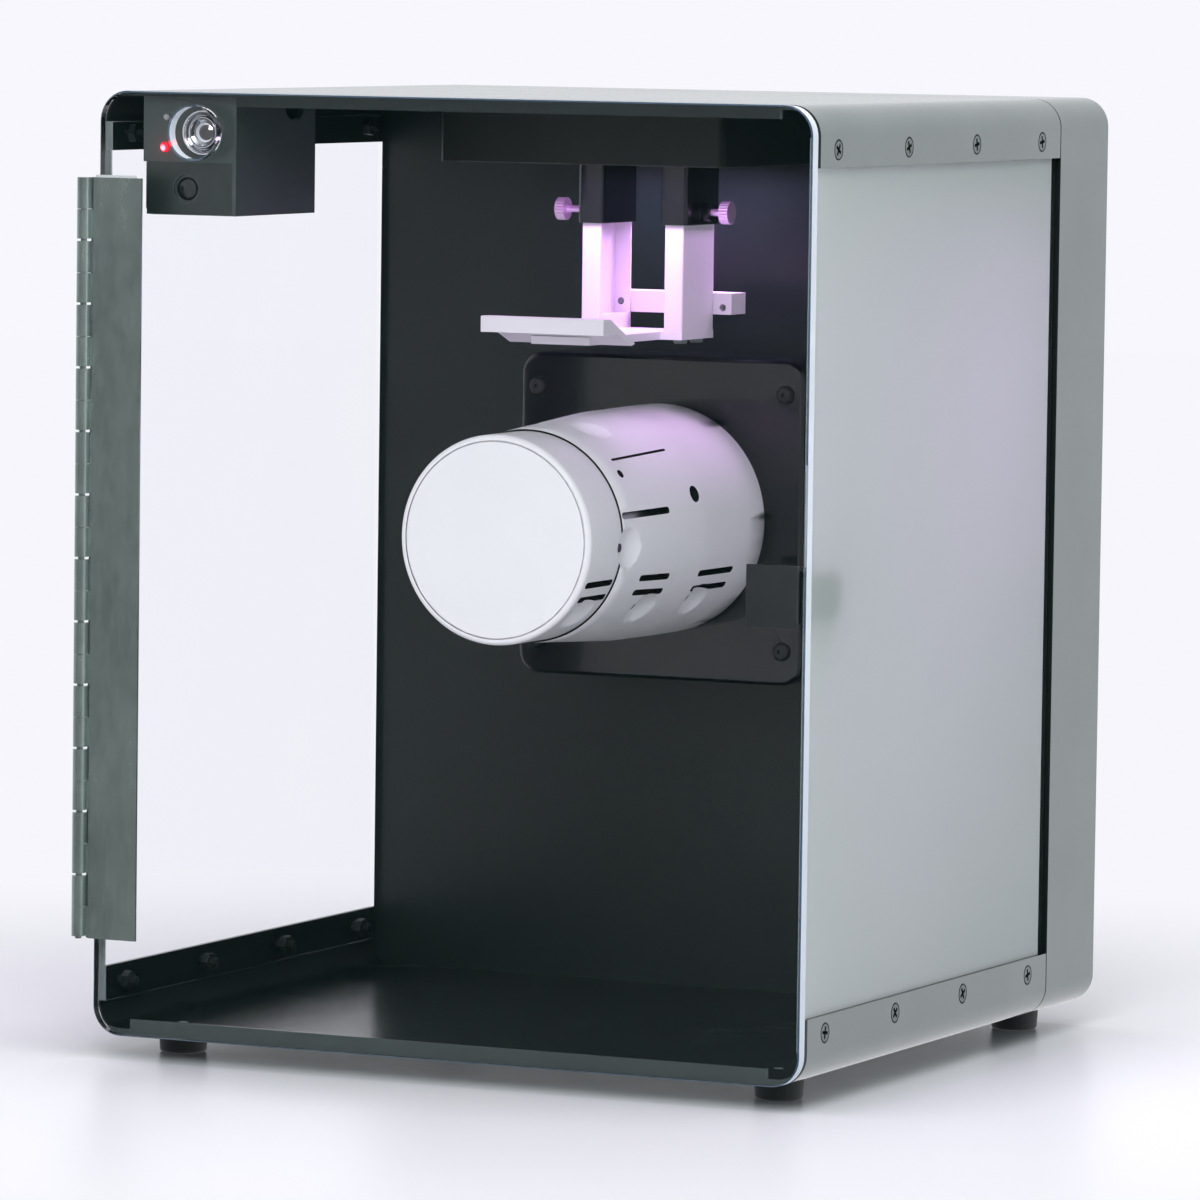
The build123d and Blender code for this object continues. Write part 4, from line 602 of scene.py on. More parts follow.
# Door edges: the chamfers' blue is a painted reflection, the right edge's white a painted highlight, and
# the rim finish a dimmer copy of it.
DOOR_BEVEL = clear("door bevel", (110, 140, 172), (96, 128, 162), 1.25, 0.3)
DOOR_RIM = clear("door rim", (196, 214, 228), (180, 202, 220), 1.2, 0.12)
DOOR_EDGE_HIGHLIGHT = clear("door edge with painted highlight", (232, 240, 246), (220, 231, 240), 1.3, 0.85, (0.1, 0.2))
SIDE_CLEAR = clear("clear side sheet", (254, 254, 255), (252, 253, 255), 1.12)
# The right sheet is clear like the left; its cloudy grey is a painted sheen for the studio it reflects, and
# the rims' grey is painted sheen too.
SIDE_PAINTED_SHEEN = clear("side sheet with painted sheen", (198, 210, 206), (194, 206, 202), 1.2, 0.88, (0.1, 0.18), 0.4)
SIDE_RIM = clear("side sheet rim", (150, 160, 160), (140, 150, 150), 1.2, 0.5)
WINDOW_CLEAR = clear("lamp window", (244, 240, 255), (240, 236, 252), 1.45)
TAPE_FOAM = coated("bonding tape", (205, 208, 212), (196, 200, 204), (0.6, 0.75), 900.0, 0.3, dust=0.0)
BOARD_GREEN = coated("board mask", (30, 92, 58), (26, 82, 52), (0.22, 0.34), 800.0, 0.15, dust=0.1)
MAGNET_GREY = coated("magnet", (74, 74, 78), (62, 62, 66), (0.35, 0.5), 1200.0, 0.3, dust=0.0)
LEAD_SHEATH = coated("lead sheath", (38, 38, 40), (32, 32, 34), (0.45, 0.6), 1200.0, 0.25, dust=0.1)
LAMP_VIOLET = glowing("lamp chip lens", (150, 90, 255), (190, 150, 255), 6.0)
LAMP_RED = glowing(
    "red lamp lens", (214, 8, 36), (255, 170, 190), 1.2, row(*LIT_LAMP) - Vector((0.0006, 0, 0.0004)),
    0.0016,
)
LAMP_UNLIT = coated(
    "unlit lamp lens", (150, 156, 158), (96, 102, 106), (0.05, 0.12), 600.0, 0.02, dust=0.0,
)
BUTTON_BLACK = coated("button plastic", (20, 26, 27), (16, 22, 23), (0.08, 0.16), 900.0, 0.03, dust=0.0)
POD_LENS = coated("pod lamp lens", (84, 80, 96), (64, 60, 76), (0.08, 0.16), 900.0, 0.05, dust=0.0)


# Mesh helpers


def mesh_from(name, bm):
    """Mesh of a shape, which is freed."""
    mesh = bpy.data.meshes.new(name)
    bm.to_mesh(mesh)
    bm.free()
    return mesh


def soften(mesh, degrees):
    """Smooth shading with sharp edges where faces meet at more than an angle."""
    mesh.shade_smooth()
    mesh.set_sharp_from_angle(angle=math.radians(degrees))


def add_piece(name, bm, materials, body, replaced, degrees=SOFT_ANGLE):
    """Finished piece from its mesh, riding on a body in place of the nodes it stands for."""
    mesh = mesh_from(name, bm)
    for material in materials:
        mesh.materials.append(material)
    piece = add_object(name, mesh)
    if degrees:
        soften(mesh, degrees)
        piece.modifiers.new("even shading", "WEIGHTED_NORMAL").keep_sharp = True
    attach(piece, body)
    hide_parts(*replaced)


def copy_of(node):
    """Merged copy of a node's mesh."""
    bm = bmesh.new()
    bm.from_mesh(frame["nodes"][node].data)
    bmesh.ops.remove_doubles(bm, verts=bm.verts, dist=MERGE_DISTANCE)
    return bm


def dress(node, materials, edge=0.0, pick=None, flat=True):
    """Copy of a node with clean faces, soft edges and its finish, in place of the node."""
    bm = copy_of(node)
    if flat:
        bmesh.ops.dissolve_limit(
            bm, angle_limit=math.radians(FLAT_ANGLE), verts=bm.verts, edges=bm.edges, delimit=set()
        )
    if edge:
        sharp = [
            e for e in bm.edges
            if len(e.link_faces) == 2 and e.calc_face_angle(0.0) > math.radians(BEVEL_ANGLE)
        ]
        bmesh.ops.bevel(
            bm, geom=sharp, offset=edge * MM, offset_type="OFFSET", segments=2, profile=0.5,
            affect="EDGES", clamp_overlap=True,
        )
    if pick:
        bm.normal_update()
        for face in bm.faces:
            face.material_index = pick(face)
    add_piece(node + "_finish", bm, materials, frame["nodes"][node]["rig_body"], (node,))


def shell_side(face):
    """0 on the outside of the folded shell, where the grey painted sheen goes, 1 on its inside and 2 on
    what faces the front.
    """
    middle = Vector((FRAME_SHIFT.x, 0, SHELL_MIDDLE)) * MM
    out = face.calc_center_median() - middle
    across = face.normal.x * out.x + face.normal.z * out.z
    if face.normal.y < -0.5:
        return 2
    return 1 if across < -1e-5 else 0


def lamp_choice(face):
    """0 on the lit lamp and 1 on the small lamp above it."""
    return 0 if face.calc_center_median().z < row(0, 0, BUTTON_Z).z else 1


def pod_side(face):
    """0 on the pod's outer skin, and 1 on its inside and in its slots, which are painted dark as shade."""
    axis = row(0, POD_FRONT, POD_Z)
    centre = face.calc_center_median() - axis
    across = Vector((centre.x, 0, centre.z))
    outward = face.normal.dot(across.normalized())
    on_front = face.normal.y < -0.3 and centre.y < 3 * MM
    if on_front or outward > 0.3 and across.length > POD_INNER_SKIN * MM:
        return 0
    return 1


def dress_shell():
    """Wraps and rear shell in one dark paint: grey outside as a painted sheen, black inside and on the
    front lips.
    """
    for node, inside, front in (
        ("top_wrap", SHELL_BLACK, SHELL_BLACK),
        # The tray's front lip takes the lighter box grey as a painted highlight.
        ("bottom_tray", TRAY_BLACK, BOX_GREY),
        ("rear_shell", SHELL_BLACK, SHELL_BLACK),
    ):
        dress(node, [SHELL_GREY_PAINTED_SHEEN, inside, front], pick=shell_side)


def dress_nodes():
    """Finish of the nodes that keep the solids' own shapes."""
    dress("back_wall", [SHELL_BLACK])
    dress("back_cover", [SHELL_GREY_PAINTED_SHEEN])
    dress("control_housing", [BOX_GREY], edge=0.3)
    dress("control_lower_plate", [PLATE_GREY], edge=0.25)
    for node in ("hinge_body_leaf", "hinge_door_leaf", "hinge_pin"):
        dress(node, [HINGE_STEEL])
    for node in ("hinge_tape_body", "hinge_tape_door"):
        dress(node, [TAPE_FOAM])
    dress("catch_body", [BLACK_PLASTIC], edge=0.4)
    dress("catch_magnet", [MAGNET_GREY])
    dress("catch_strike", [BLACK_STEEL], edge=0.2)
    dress("lamp_housing", [BENCH_BLACK], edge=0.25)
    dress("lamp_windows", [WINDOW_CLEAR], edge=0.2)
    dress("lamp_boards", [BOARD_GREEN])
    dress("lamp_chips", [LAMP_VIOLET])
    for side in ("left", "right"):
        dress("hanger_tube_" + side, [GLOSS_BLACK], edge=0.9)
        dress("hanger_bar_" + side, [WHITE_PAINT])
        dress("thumb_screw_" + side, [THUMB_VIOLET_SHEEN])
    dress("clamp_bosses", [GLOSS_BLACK])
    dress("hanger_crosspiece", [WHITE_PAINT], edge=0.4)
    dress("hanger_tongue", [WHITE_PAINT], edge=0.3)
    dress("pod_base", [GLOSS_BLACK], flat=False)
    dress("base_screws", [BLACK_STEEL])
    for node in ("pod_cap", "pod_body"):
        dress(node, [WHITE_PLASTIC, POD_PAINTED_SHADE], pick=pod_side, flat=False)
    dress("pod_leds", [POD_LENS])
    dress("pod_core", [CORE_METAL])
    for node in ("pod_fan_frame", "pod_fan_rotor"):
        dress(node, [BLACK_PLASTIC])
    dress("start_button_nut", [SCREW_STEEL])
    dress("indicator_leds", [LAMP_RED, LAMP_UNLIT], pick=lamp_choice)
    dress("control_board", [BOARD_GREEN])
    dress("power_inlet", [BLACK_PLASTIC], edge=0.3)
    dress("inlet_pins", [PIN_BRASS])
    dress("rocker_body", [BLACK_PLASTIC], edge=0.3)
    dress("rocker", [BLACK_PLASTIC], edge=0.2)
    dress("power_supply", [SUPPLY_STEEL])
    dress("driver_board", [BOARD_GREEN])
    dress("supply_lead", [LEAD_SHEATH])


# Turned shapes and repeated pieces


def ring(bm, radius, height, steps):
    """Vertices round Z, or one vertex on it."""
    angles = [2 * math.pi * step / steps for step in range(steps if radius else 1)]
    return [bm.verts.new((radius * math.cos(a), radius * math.sin(a), height)) for a in angles]


def band(bm, low, high):
    """Faces between two loops of vertices; either can be a single vertex."""
    steps = max(len(low), len(high))
    faces = []
    for step in range(steps):
        after = (step + 1) % steps
        near = [low[step % len(low)], low[after % len(low)]]
        far = [high[after % len(high)], high[step % len(high)]]
        faces.append(bm.faces.new(list(dict.fromkeys(near + far))))
    return faces


def turned(profile, steps):
    """Closed shape turned about Z from pairs of radius and height, axis to axis."""
    bm = bmesh.new()
    rings = [ring(bm, radius, height, steps) for radius, height in profile]
    for low, high in zip(rings, rings[1:]):
        band(bm, low, high)
    bmesh.ops.recalc_face_normals(bm, faces=bm.faces)
    return bm


def set_in_front(bm, place):
    """Shape drawn about Z at the origin, turned to face the front at a place in millimetres."""
    aimed = Vector((0, -1, 0)).to_track_quat("Z", "Y").to_matrix().to_4x4()
    bm.transform(TO_FRAME @ Matrix.Translation(Vector(place)) @ aimed)
    return bm


def rounded_corner(centre_radius, centre_height, radius, start, end, steps=4):
    """Points of a round corner in a profile, from one angle to another in degrees."""
    points = []
    for step in range(steps + 1):
        angle = math.radians(start + (end - start) * step / steps)
        points.append((centre_radius + radius * math.cos(angle), centre_height + radius * math.sin(angle)))
    return points


def round_rectangle(x0, x1, z0, z1, radius, inset, steps):
    """Outline of a rectangle with round corners, drawn in by an inset."""
    points = []
    inner = max(radius - inset, 0.05)
    centres = (
        (x1 - radius, z0 + radius, -90), (x1 - radius, z1 - radius, 0),
        (x0 + radius, z1 - radius, 90), (x0 + radius, z0 + radius, 180),
    )
    for x, z, start in centres:
        for step in range(steps + 1):
            angle = math.radians(start + 90 * step / steps)
            points.append((x + inner * math.cos(angle), z + inner * math.sin(angle)))
    return points


def circle(x, z, radius, steps=48):
    """Points round a circle."""
    angles = [2 * math.pi * step / steps for step in range(steps)]
    return [(x + radius * math.cos(a), z + radius * math.sin(a)) for a in angles]


def face_outward(bm):
    """Normals that point out of a closed shape."""
    bmesh.ops.recalc_face_normals(bm, faces=bm.faces)
    if bm.calc_volume(signed=True) < 0:
        bmesh.ops.reverse_faces(bm, faces=bm.faces)
    bm.normal_update()


def cut_sheet(loops_at, thickness, edge):
    """Sheet from height 0 to its thickness, with chamfers; loops_at gives its outlines for an inset."""
    bm = bmesh.new()
    layers = []
    for height, inset in ((0, edge), (edge, 0), (thickness - edge, 0), (thickness, edge)):
        layers.append([[bm.verts.new((x, z, height)) for x, z in loop] for loop in loops_at(inset)])
    for low, high in zip(layers, layers[1:]):
        for first, second in zip(low, high):
            for wall in band(bm, first, second):
                wall.material_index = 1 if low is layers[1] else 2
    for layer in (layers[0], layers[-1]):
        edges = []
        for loop in layer:
            edges += [bm.edges.get(pair) for pair in zip(loop, loop[1:] + loop[:1])]
        bmesh.ops.triangle_fill(bm, use_beauty=True, edges=edges, normal=(0, 0, 1))
    bmesh.ops.recalc_face_normals(bm, faces=bm.faces)
    return bm


def make_door():
    """Clear door with the hole round the button; its right edge carries a bright painted highlight, its
    other rims a dimmer copy and its chamfers a bluish painted reflection.
    """
    def loops(inset):
        outline = round_rectangle(
            DOOR_LEFT, SHELL_HALF_WIDTH, SHELL_BOTTOM, SHELL_TOP, DOOR_CORNER, inset, 12
        )
        return [outline, circle(BUTTON_X, BUTTON_Z, DOOR_HOLE_RADIUS + inset)]

    bm = cut_sheet(loops, DOOR_SHEET, DOOR_EDGE)
    upright = Matrix(((1, 0, 0, 0), (0, 0, 1, DOOR_FRONT), (0, 1, 0, 0), (0, 0, 0, 1)))
    bm.transform(TO_FRAME @ upright)
    face_outward(bm)
    # Rim faces that do not face right take the dimmer rim copy; the right edge keeps the bright painted
    # highlight.
    for face in bm.faces:
        if face.material_index == 1 and face.normal.x < DOOR_CLOSING_SIDE:
            face.material_index = 3
    finishes = [DOOR_CLEAR, DOOR_EDGE_HIGHLIGHT, DOOR_BEVEL, DOOR_RIM]
    add_piece("door_sheet", bm, finishes, "door", ("door_panel",), 0)


def make_side_panels():
    """Clear side panels with holes for the flange screws."""
    for side, name, face in ((1, "right", SIDE_PAINTED_SHEEN), (-1, "left", SIDE_CLEAR)):
        def loops(inset):
            outline = round_rectangle(PANEL_FRONT, PANEL_REAR, PANEL_BOTTOM, PANEL_TOP, 0.6, inset, 2)
            holes = [
                circle(FLANGE_SCREW_FIRST + index * FLANGE_SCREW_PITCH, z, PANEL_HOLE_RADIUS + inset, 20)
                for index in range(FLANGE_SCREW_ROWS) for z in (FLANGE_SCREW_LOW, FLANGE_SCREW_HIGH)
            ]
            return [outline] + holes

        bm = cut_sheet(loops, PANEL_SHEET, PANEL_EDGE)
        upright = Matrix(((0, 0, side, side * PANEL_INNER), (1, 0, 0, 0), (0, 1, 0, 0), (0, 0, 0, 1)))
        bm.transform(TO_FRAME @ upright)
        face_outward(bm)
        node = "side_panel_" + name
        add_piece(node + "_sheet", bm, [face, SIDE_RIM, SIDE_RIM], "cabinet", (node,), 0)


def make_start_button():
    """Chrome bezel on its threaded barrel, and the dished cap inside it."""
    root = BARREL_RADIUS - BARREL_THREAD
    profile = [(0, -BARREL_LENGTH), (root, -BARREL_LENGTH)]
    for index in range(int((BARREL_LENGTH - 1) / BARREL_PITCH)):
        height = -BARREL_LENGTH + BARREL_PITCH * index
        profile += [(BARREL_RADIUS, height + BARREL_PITCH / 2), (root, height + BARREL_PITCH)]
    profile += [(BARREL_RADIUS, 0.0), (BEZEL_RADIUS - 0.1, 0.0), (BEZEL_RADIUS, 0.1)]
    profile += rounded_corner(BEZEL_RADIUS - 0.7, BEZEL_LEAD - 0.7, 0.7, 0, 90, 6)
    profile += rounded_corner(BEZEL_RADIUS - 1.0, BEZEL_LEAD - 0.3, 0.3, 90, 135, 3)
    profile += [(BARREL_BORE + 0.5, BEZEL_LEAD - 1.25), (BARREL_BORE, BEZEL_LEAD - 1.5)]
    profile += [(BARREL_BORE, BARREL_FLOOR), (0, BARREL_FLOOR)]
    body = set_in_front(turned(profile, 96), (BUTTON_X, BUTTON_SEAT, BUTTON_Z))
    add_piece("bezel", body, [BUTTON_CHROME], "cabinet", ("start_button_body",), 28)
    top = BEZEL_LEAD - CAP_RECESS
    rim = CAP_RADIUS - CAP_RIM
    back = top - CAP_LENGTH
    profile = [(0, back), (CAP_RADIUS - 0.3, back), (CAP_RADIUS, back + 0.3)]
    profile += rounded_corner(CAP_RADIUS - 0.45, top - 0.45, 0.45, 0, 90, 5)
    profile += [(rim + 0.2, top), (rim, top - 0.2), (rim, top - CAP_DISH)]
    for step in range(1, 16):
        share = 1 - step / 16
        profile.append((rim * share, top - CAP_DISH * share ** 2 - 0.05))
    profile.append((0, top - 0.05))
    cap = set_in_front(turned(profile, 96), (BUTTON_X, BUTTON_SEAT, BUTTON_Z))
    add_piece("dished_cap", cap, [BUTTON_CHROME], "start_button", ("start_button_cap",), 28)


def make_small_button():
    """Small glossy dome with its flange and stem."""
    height = DOME_FLANGE_Y - DOME_FRONT
    profile = [(0, -DOME_STEM_LENGTH), (DOME_STEM_RADIUS, -DOME_STEM_LENGTH)]
    profile += [(DOME_STEM_RADIUS, -DOME_FLANGE_HEIGHT), (DOME_FLANGE_RADIUS, -DOME_FLANGE_HEIGHT)]
    profile += [(DOME_FLANGE_RADIUS, 0.0), (DOME_RADIUS, 0.0), (DOME_RADIUS, 0.9)]
    for step in range(1, 12):
        angle = math.pi / 2 * step / 12
        profile.append((DOME_RADIUS * math.cos(angle), 0.9 + (height - 0.9) * math.sin(angle)))
    profile.append((0, height))
    dome = set_in_front(turned(profile, 64), (DOME_X, DOME_FLANGE_Y, DOME_Z))
    add_piece("small_dome", dome, [BUTTON_BLACK], "sensor_button", ("lower_button",), 40)


def cross_outline():
    """Outline of the cross recess, counter-clockwise."""
    half = CROSS_WIDTH / 2
    tip = CROSS_LENGTH / 2
    outline = []
    for quarter in range(4):
        turn = Matrix.Rotation(math.pi / 2 * quarter, 2)
        outline += [tuple(turn @ Vector(point)) for point in ((tip, -half), (tip, half), (half, half))]
    return outline


def cross_screw(rings, scale=1.0, end_dark=0):
    """Screw from rings of radius and height, outermost face first, with a cross recess in that face.

    A ring given with a third value of 1 starts faces painted dark as shade, like the seam round a head; the
    cross recess is painted dark as shade too.
    """
    bm = bmesh.new()
    dark = bm.faces.layers.int.new("dark")
    loops = [ring(bm, radius, height, SCREW_STEPS) for radius, height, *_ in rings]
    top = rings[0][1]
    outline = [(x * scale, y * scale) for x, y in cross_outline()]
    mouth = [bm.verts.new((x, y, top)) for x, y in outline]
    floor = [bm.verts.new((x * 0.5, y * 0.5, top - CROSS_DEPTH * scale)) for x, y in outline]
    edges = []
    for loop in (loops[0], mouth):
        edges += [bm.edges.new(pair) for pair in zip(loop, loop[1:] + loop[:1])]
    bmesh.ops.triangle_fill(bm, use_beauty=True, edges=edges, normal=(0, 0, 1))
    for wall in band(bm, mouth, floor):
        wall[dark] = 1
    bm.faces.new(floor)[dark] = 1
    for first, second, given in zip(loops, loops[1:], rings[1:]):
        for wall in band(bm, first, second):
            wall[dark] = len(given) - 2
    bm.faces.new(loops[-1])[dark] = end_dark
    bmesh.ops.recalc_face_normals(bm, faces=bm.faces)
    return bm


def thread_rings(radius, start, end):
    """Rings of a threaded shank from one height down to another."""
    rings = [(radius, start)]
    root = radius - THREAD_DEPTH
    for turn in range(int((start - end - 0.4) / THREAD_PITCH)):
        height = start - THREAD_PITCH * (turn + 0.5)
        rings += [(root, height), (radius, height - THREAD_PITCH / 2)]
    return rings + [(radius, end + THREAD_DEPTH), (root, end)]


def flat_cross_head():
    """Countersunk screw of the flanges, its face at height zero, with its seam, shank and tip painted dark
    as shade.
    """
    seat = FLANGE_HEAD_RADIUS - HEAD_SEAM
    rings = [(seat, 0.0), (seat + 0.1, -0.3, 1), (FLANGE_HEAD_RADIUS, -0.03, 1)]
    shank = thread_rings(FLANGE_SHANK_RADIUS, -FLANGE_HEAD_HEIGHT, -FLANGE_SHANK_LENGTH)
    return cross_screw(rings + [(*turn, 1) for turn in shank], end_dark=1)


def pan_cross_head(head_radius, head_height, shank_radius, shank_length):
    """Pan-head screw seated at height zero."""
    rings = [(head_radius * PAN_FLAT, head_height)]
    for angle in (65, 40, 15):
        share = math.radians(angle)
        side = head_radius * (PAN_FLAT + (1 - PAN_FLAT) * math.cos(share))
        rings.append((side, head_height * (0.45 + 0.55 * math.sin(share))))
    rings += [(head_radius, head_height * 0.3), (head_radius, 0.0)]
    rings += thread_rings(shank_radius, 0.0, -shank_length)
    return cross_screw(rings, PAN_CROSS_SHARE * head_radius)


def hex_nut():
    """Hexagon nut standing on height zero, with chamfered corners and bore."""
    half = NUT_WIDTH / 2
    bm = bmesh.new()
    loops = [[] for _ in range(6)]
    for step in range(NUT_STEPS):
        angle = 2 * math.pi * step / NUT_STEPS
        flat = half / math.cos((angle + math.pi / 6) % (math.pi / 3) - math.pi / 6)
        drop = (flat - half * 0.96) * 0.5
        spots = (
            (NUT_BORE, 0.0), (flat, 0.0), (flat, NUT_HEIGHT - drop), (half * 0.96, NUT_HEIGHT),
            (NUT_BORE + 0.35, NUT_HEIGHT), (NUT_BORE, NUT_HEIGHT - 0.35),
        )
        for loop, (radius, height) in zip(loops, spots):
            loop.append(bm.verts.new((radius * math.cos(angle), radius * math.sin(angle), height)))
    for first, second in zip(loops, loops[1:] + loops[:1]):
        band(bm, first, second)
    bmesh.ops.recalc_face_normals(bm, faces=bm.faces)
    return bm


def make_scatter_tree():
    """Geometry tree that sets one shape on points, turned to the direction stored on each."""
    tree = bpy.data.node_groups.new("shape on points", "GeometryNodeTree")
    for label, kind in (
        ("Points", "Geometry"), ("Shape", "Object"), ("Size", "Float"), ("Turn Spread", "Float"),
        ("Seed", "Int"), ("Finish", "Material"),
    ):
        tree.interface.new_socket(name=label, in_out="INPUT", socket_type="NodeSocket" + kind)
    tree.interface.new_socket(name="Geometry", in_out="OUTPUT", socket_type="NodeSocketGeometry")
    given = tree.nodes.new("NodeGroupInput").outputs
    made = tree.nodes.new("NodeGroupOutput")
    shape = add_node(tree, "GeometryNodeObjectInfo", {"Object": given["Shape"]})
    facing = add_node(
        tree, "GeometryNodeInputNamedAttribute", {"Name": "facing"}, data_type="FLOAT_VECTOR"
    ).outputs["Attribute"]
    aimed = add_node(tree, "FunctionNodeAlignRotationToVector", {"Vector": facing}, axis="Z")
    spin = add_node(tree, "FunctionNodeRandomValue", {
        3: given["Turn Spread"], "Seed": given["Seed"]
    }, data_type="FLOAT")
    turned_by = add_node(tree, "FunctionNodeAxisAngleToRotation", {
        "Axis": (0, 0, 1), "Angle": spin.outputs[1]
    })
    both = add_node(tree, "FunctionNodeRotateRotation", {
        "Rotation": aimed.outputs["Rotation"], "Rotate By": turned_by.outputs["Rotation"]
    }, rotation_space="LOCAL")
    placed = add_node(tree, "GeometryNodeInstanceOnPoints", {
        "Points": given["Points"], "Instance": shape.outputs["Geometry"],
        "Rotation": both.outputs["Rotation"], "Scale": given["Size"],
    })
    real = add_node(tree, "GeometryNodeRealizeInstances", {"Geometry": placed.outputs["Instances"]})
    finished = add_node(tree, "GeometryNodeSetMaterial", {
        "Geometry": real.outputs["Geometry"], "Material": given["Finish"]
    })
    feed(tree, made, {"Geometry": finished.outputs["Geometry"]})
    return tree


SCATTER = make_scatter_tree()


def set_on_points(name, shape, places, materials, replaced, spread=0.0, seed=0):
    """Plain mesh of one millimetre shape set at each place, given with the way it faces."""
    body = frame["nodes"][replaced]["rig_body"]
    template_mesh = mesh_from(name + "_shape", shape)
    template = add_object(name + "_shape", template_mesh)
    points = bpy.data.meshes.new(name + "_points")
    points.from_pydata([row(*place) for place, _ in places], [], [])
    facing = points.attributes.new("facing", "FLOAT_VECTOR", "POINT")
    for item, (_, direction) in zip(facing.data, places):
        item.vector = direction
    holder = add_object(name + "_points", points)
    modifier = holder.modifiers.new("set", "NODES")
    modifier.node_group = SCATTER
    given = {"Shape": template, "Size": MM, "Turn Spread": spread, "Seed": seed, "Finish": materials[0]}
    for socket in SCATTER.interface.items_tree:
        if socket.in_out == "INPUT" and socket.name in given:
            modifier[socket.identifier] = given[socket.name]
    bpy.context.view_layer.update()
    evaluated = holder.evaluated_get(bpy.context.evaluated_depsgraph_get())
    mesh = bpy.data.meshes.new_from_object(evaluated)
    bpy.data.objects.remove(holder)
    bpy.data.objects.remove(template)
    bpy.data.meshes.remove(points)
    bpy.data.meshes.remove(template_mesh)
    mesh.name = name
    mesh.materials.clear()
    for material in materials:
        mesh.materials.append(material)
    # Faces marked dark take the second finish, the painted shade of seams and recesses.
    dark = mesh.attributes.get("dark")
    for polygon in mesh.polygons:
        polygon.material_index = dark.data[polygon.index].value if dark else 0
    soften(mesh, SOFT_ANGLE)
    piece = add_object(name, mesh)
    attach(piece, body)
    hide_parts(replaced)


def flange_places(reach, inward):
    """Places along both flanges at a distance from the middle, facing out or in."""
    places = []
    for side in (-1, 1):
        for index in range(FLANGE_SCREW_ROWS):
            for z in (FLANGE_SCREW_LOW, FLANGE_SCREW_HIGH):
                y = FLANGE_SCREW_FIRST + index * FLANGE_SCREW_PITCH
                places.append(((side * reach, y, z), (-side if inward else side, 0, 0)))
    return places


def make_flange_screws():
    """Cross-head screws along the flanges of both sides, and their nuts."""
    set_on_points(
        "flange_screw_set", flat_cross_head(), flange_places(SHELL_HALF_WIDTH, False),
        [SCREW_STEEL, SCREW_PAINTED_SHADE], "flange_screws", spread=1.5, seed=4,
    )
    set_on_points(
        "flange_nut_set", hex_nut(), flange_places(PANEL_INNER, True), [NUT_PAINTED_SHADE],
        "flange_nuts", spread=1.0, seed=9,
    )


def islands(bm):
    """Separate pieces of a mesh in its own order, each as the list of its vertices' places."""
    seen = set()
    for start in bm.verts:
        if start in seen:
            continue
        seen.add(start)
        found = [start]
        for vert in found:
            near = [edge.other_vert(vert) for edge in vert.link_edges]
            new = [other for other in near if other not in seen]
            seen.update(new)
            found += new
        yield [vert.co.copy() for vert in found]


def screw_places(node, head_height):
    """Seat and facing of each screw of a node, in millimetres, read from its solids."""
    bm = copy_of(node)
    places = []
    for spots in islands(bm):
        low = Vector([min(spot[i] for spot in spots) for i in range(3)])
        high = Vector([max(spot[i] for spot in spots) for i in range(3)])
        size = high - low
        odd = [abs(size[i] - size[(i + 1) % 3]) + abs(size[i] - size[(i + 2) % 3]) for i in range(3)]
        axis = odd.index(max(odd))
        middle = (low + high) / 2
        across = Vector([i != axis for i in range(3)])
        reach = {}
        for end, level in ((-1, low[axis]), (1, high[axis])):
            near = [spot for spot in spots if abs(spot[axis] - level) < head_height * MM * 0.5]
            reach[end] = max(((spot - middle) * across).length for spot in near)
        end = 1 if reach[1] > reach[-1] else -1
        facing = Vector([end if i == axis else 0 for i in range(3)])
        top = middle.copy()
        top[axis] = high[axis] if end == 1 else low[axis]
        places.append((tuple((top - facing * head_height * MM) / MM - FRAME_SHIFT), tuple(facing)))
    bm.free()
    return places


def make_pan_screws():
    """Pan-head screws, set where the solids have them."""
    for seed, (node, head_radius, head_height, shank_radius, shank_length) in enumerate(PAN_SCREWS):
        shape = pan_cross_head(head_radius, head_height, shank_radius, shank_length)
        set_on_points(
            node + "_set", shape, screw_places(node, head_height), [SCREW_STEEL, SCREW_PAINTED_SHADE],
            node, spread=1.5, seed=seed,
        )


def make_feet():
    """Round rubber feet with a recess for their screws."""
    profile = [(0, FOOT_BORE_DEPTH), (FOOT_BORE_RADIUS, FOOT_BORE_DEPTH), (FOOT_BORE_RADIUS, 0.4)]
    profile += [(FOOT_BORE_RADIUS + 0.4, 0)]
    profile += rounded_corner(FOOT_BOTTOM_RADIUS - FOOT_ROUND, FOOT_ROUND, FOOT_ROUND, -90, 0)
    profile += [(FOOT_TOP_RADIUS - 0.2, FOOT_HEIGHT - 0.4), (FOOT_TOP_RADIUS - 0.5, FOOT_HEIGHT)]
    profile += [(0, FOOT_HEIGHT)]
    places = [((x, y, 0.0), (0, 0, 1)) for x, y in FOOT_PLACES]
    set_on_points("foot_set", turned(profile, 56), places, [FOOT_RUBBER], "feet")


# Studio


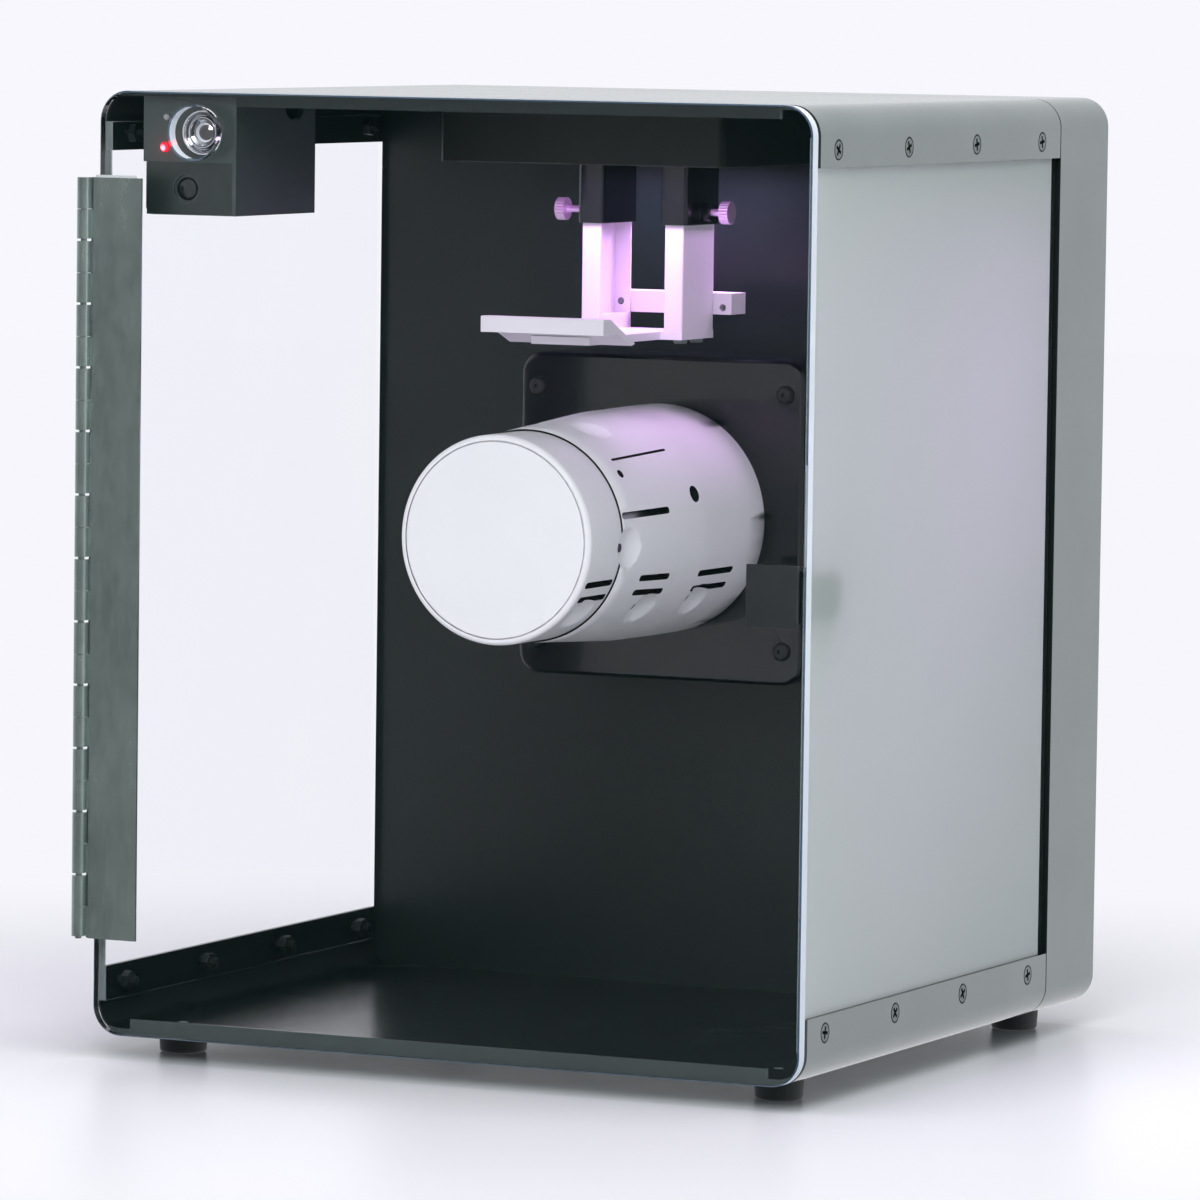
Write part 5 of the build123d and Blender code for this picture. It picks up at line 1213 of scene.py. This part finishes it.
def add_floor():
    """Pale floor that fades into the backdrop away from the cabinet, its colour darkened near the cabinet
    as a painted contact shadow.
    """
    bm = bmesh.new()
    bmesh.ops.create_circle(bm, cap_ends=True, segments=96, radius=FLOOR_RADIUS)
    mesh = mesh_from("floor", bm)
    floor = add_object("floor", mesh)
    material, tree, shader, place = new_material("studio floor")
    base = add_grain(tree, place, (246, 246, 251), (244, 244, 250), (0.3, 0.36), 60.0, 1.5)
    # Ambient occlusion darkens the floor's colour near the cabinet: a painted contact shadow.
    near = add_node(tree, "ShaderNodeAmbientOcclusion", {"Distance": FLOOR_SHADE_REACH}, samples=8)
    lit = ranged(tree, near.outputs["AO"], 0.3, 0.92)
    feed(tree, shader, {
        "Base Color": blended(tree, lit, colour(176, 181, 184), base["Colour"]),
        "Roughness": base["Roughness"],
    })
    reach = add_node(tree, "ShaderNodeVectorMath", {0: place}, operation="LENGTH").outputs["Value"]
    fade = ranged(tree, reach, *FLOOR_FADE, interpolation_type="SMOOTHSTEP")
    shown = reckoned(tree, "MULTIPLY", fade, seen_directly(tree))
    pale = add_node(tree, "ShaderNodeEmission", {"Color": colour(246, 246, 252), "Strength": 1.0})
    set_surface(tree, mixed(tree, shown, shader.outputs["BSDF"], pale.outputs["Emission"]))
    mesh.materials.append(material)
    floor.visible_glossy = False


def add_sky(tree, tint, strength):
    """Background of one colour."""
    values = {"Color": colour(*tint), "Strength": strength}
    return add_node(tree, "ShaderNodeBackground", values).outputs["Background"]


def add_world():
    """White backdrop to the eye, softer light on the cabinet, and a dimmer studio in front of it."""
    world = bpy.data.worlds.new("studio")
    bpy.context.scene.world = world
    world.use_nodes = True
    tree = world.node_tree
    tree.nodes.clear()
    direction = add_node(tree, "ShaderNodeTexCoord").outputs["Generated"]
    parts = add_node(tree, "ShaderNodeSeparateXYZ", {"Vector": direction})
    behind = ranged(tree, parts.outputs["Y"], -0.8, 0.6, 0.14, 1.0)
    mirrored = add_sky(tree, (246, 247, 252), behind)
    glossy = add_node(tree, "ShaderNodeLightPath").outputs["Is Glossy Ray"]
    lit = mixed(tree, glossy, add_sky(tree, (250, 250, 255), 0.5), mirrored)
    whole = mixed(tree, seen_directly(tree), lit, add_sky(tree, (247, 247, 253), 1.0))
    add_node(tree, "ShaderNodeOutputWorld", {"Surface": whole})


def add_lamp_glow():
    """Violet light from the lamp box's two windows, and the red spill of the lit lamp."""
    violet = (0.86, 0.48, 1.0)
    windows = (("front window light", 139.0, 0.034, 0.14), ("rear window light", 217.0, 0.016, 0.22))
    for name, y, length, power in windows:
        place = row(0, y, WINDOW_LIGHT_Z)
        glow = add_soft_light(name, place, place - Vector((0, 0, 1)), 0.09, length, power, violet)
        glow.visible_glossy = False
    x, y, z = LIT_LAMP
    lamp = bpy.data.lights.new("lit lamp", "POINT")
    lamp.energy = 0.002
    lamp.color = (1.0, 0.02, 0.06)
    lamp.shadow_soft_size = 0.0008
    spill = add_object("lit lamp", lamp)
    spill.location = row(x, y - 2.5, z)
    spill.visible_glossy = False
    spill.visible_transmission = False


bpy.context.scene.view_settings.view_transform = "Standard"
add_camera()
add_world()
add_lights()
add_floor()
dress_shell()
dress_nodes()
make_door()
make_side_panels()
make_start_button()
make_small_button()
make_flange_screws()
make_feet()
make_pan_screws()
add_lamp_glow()
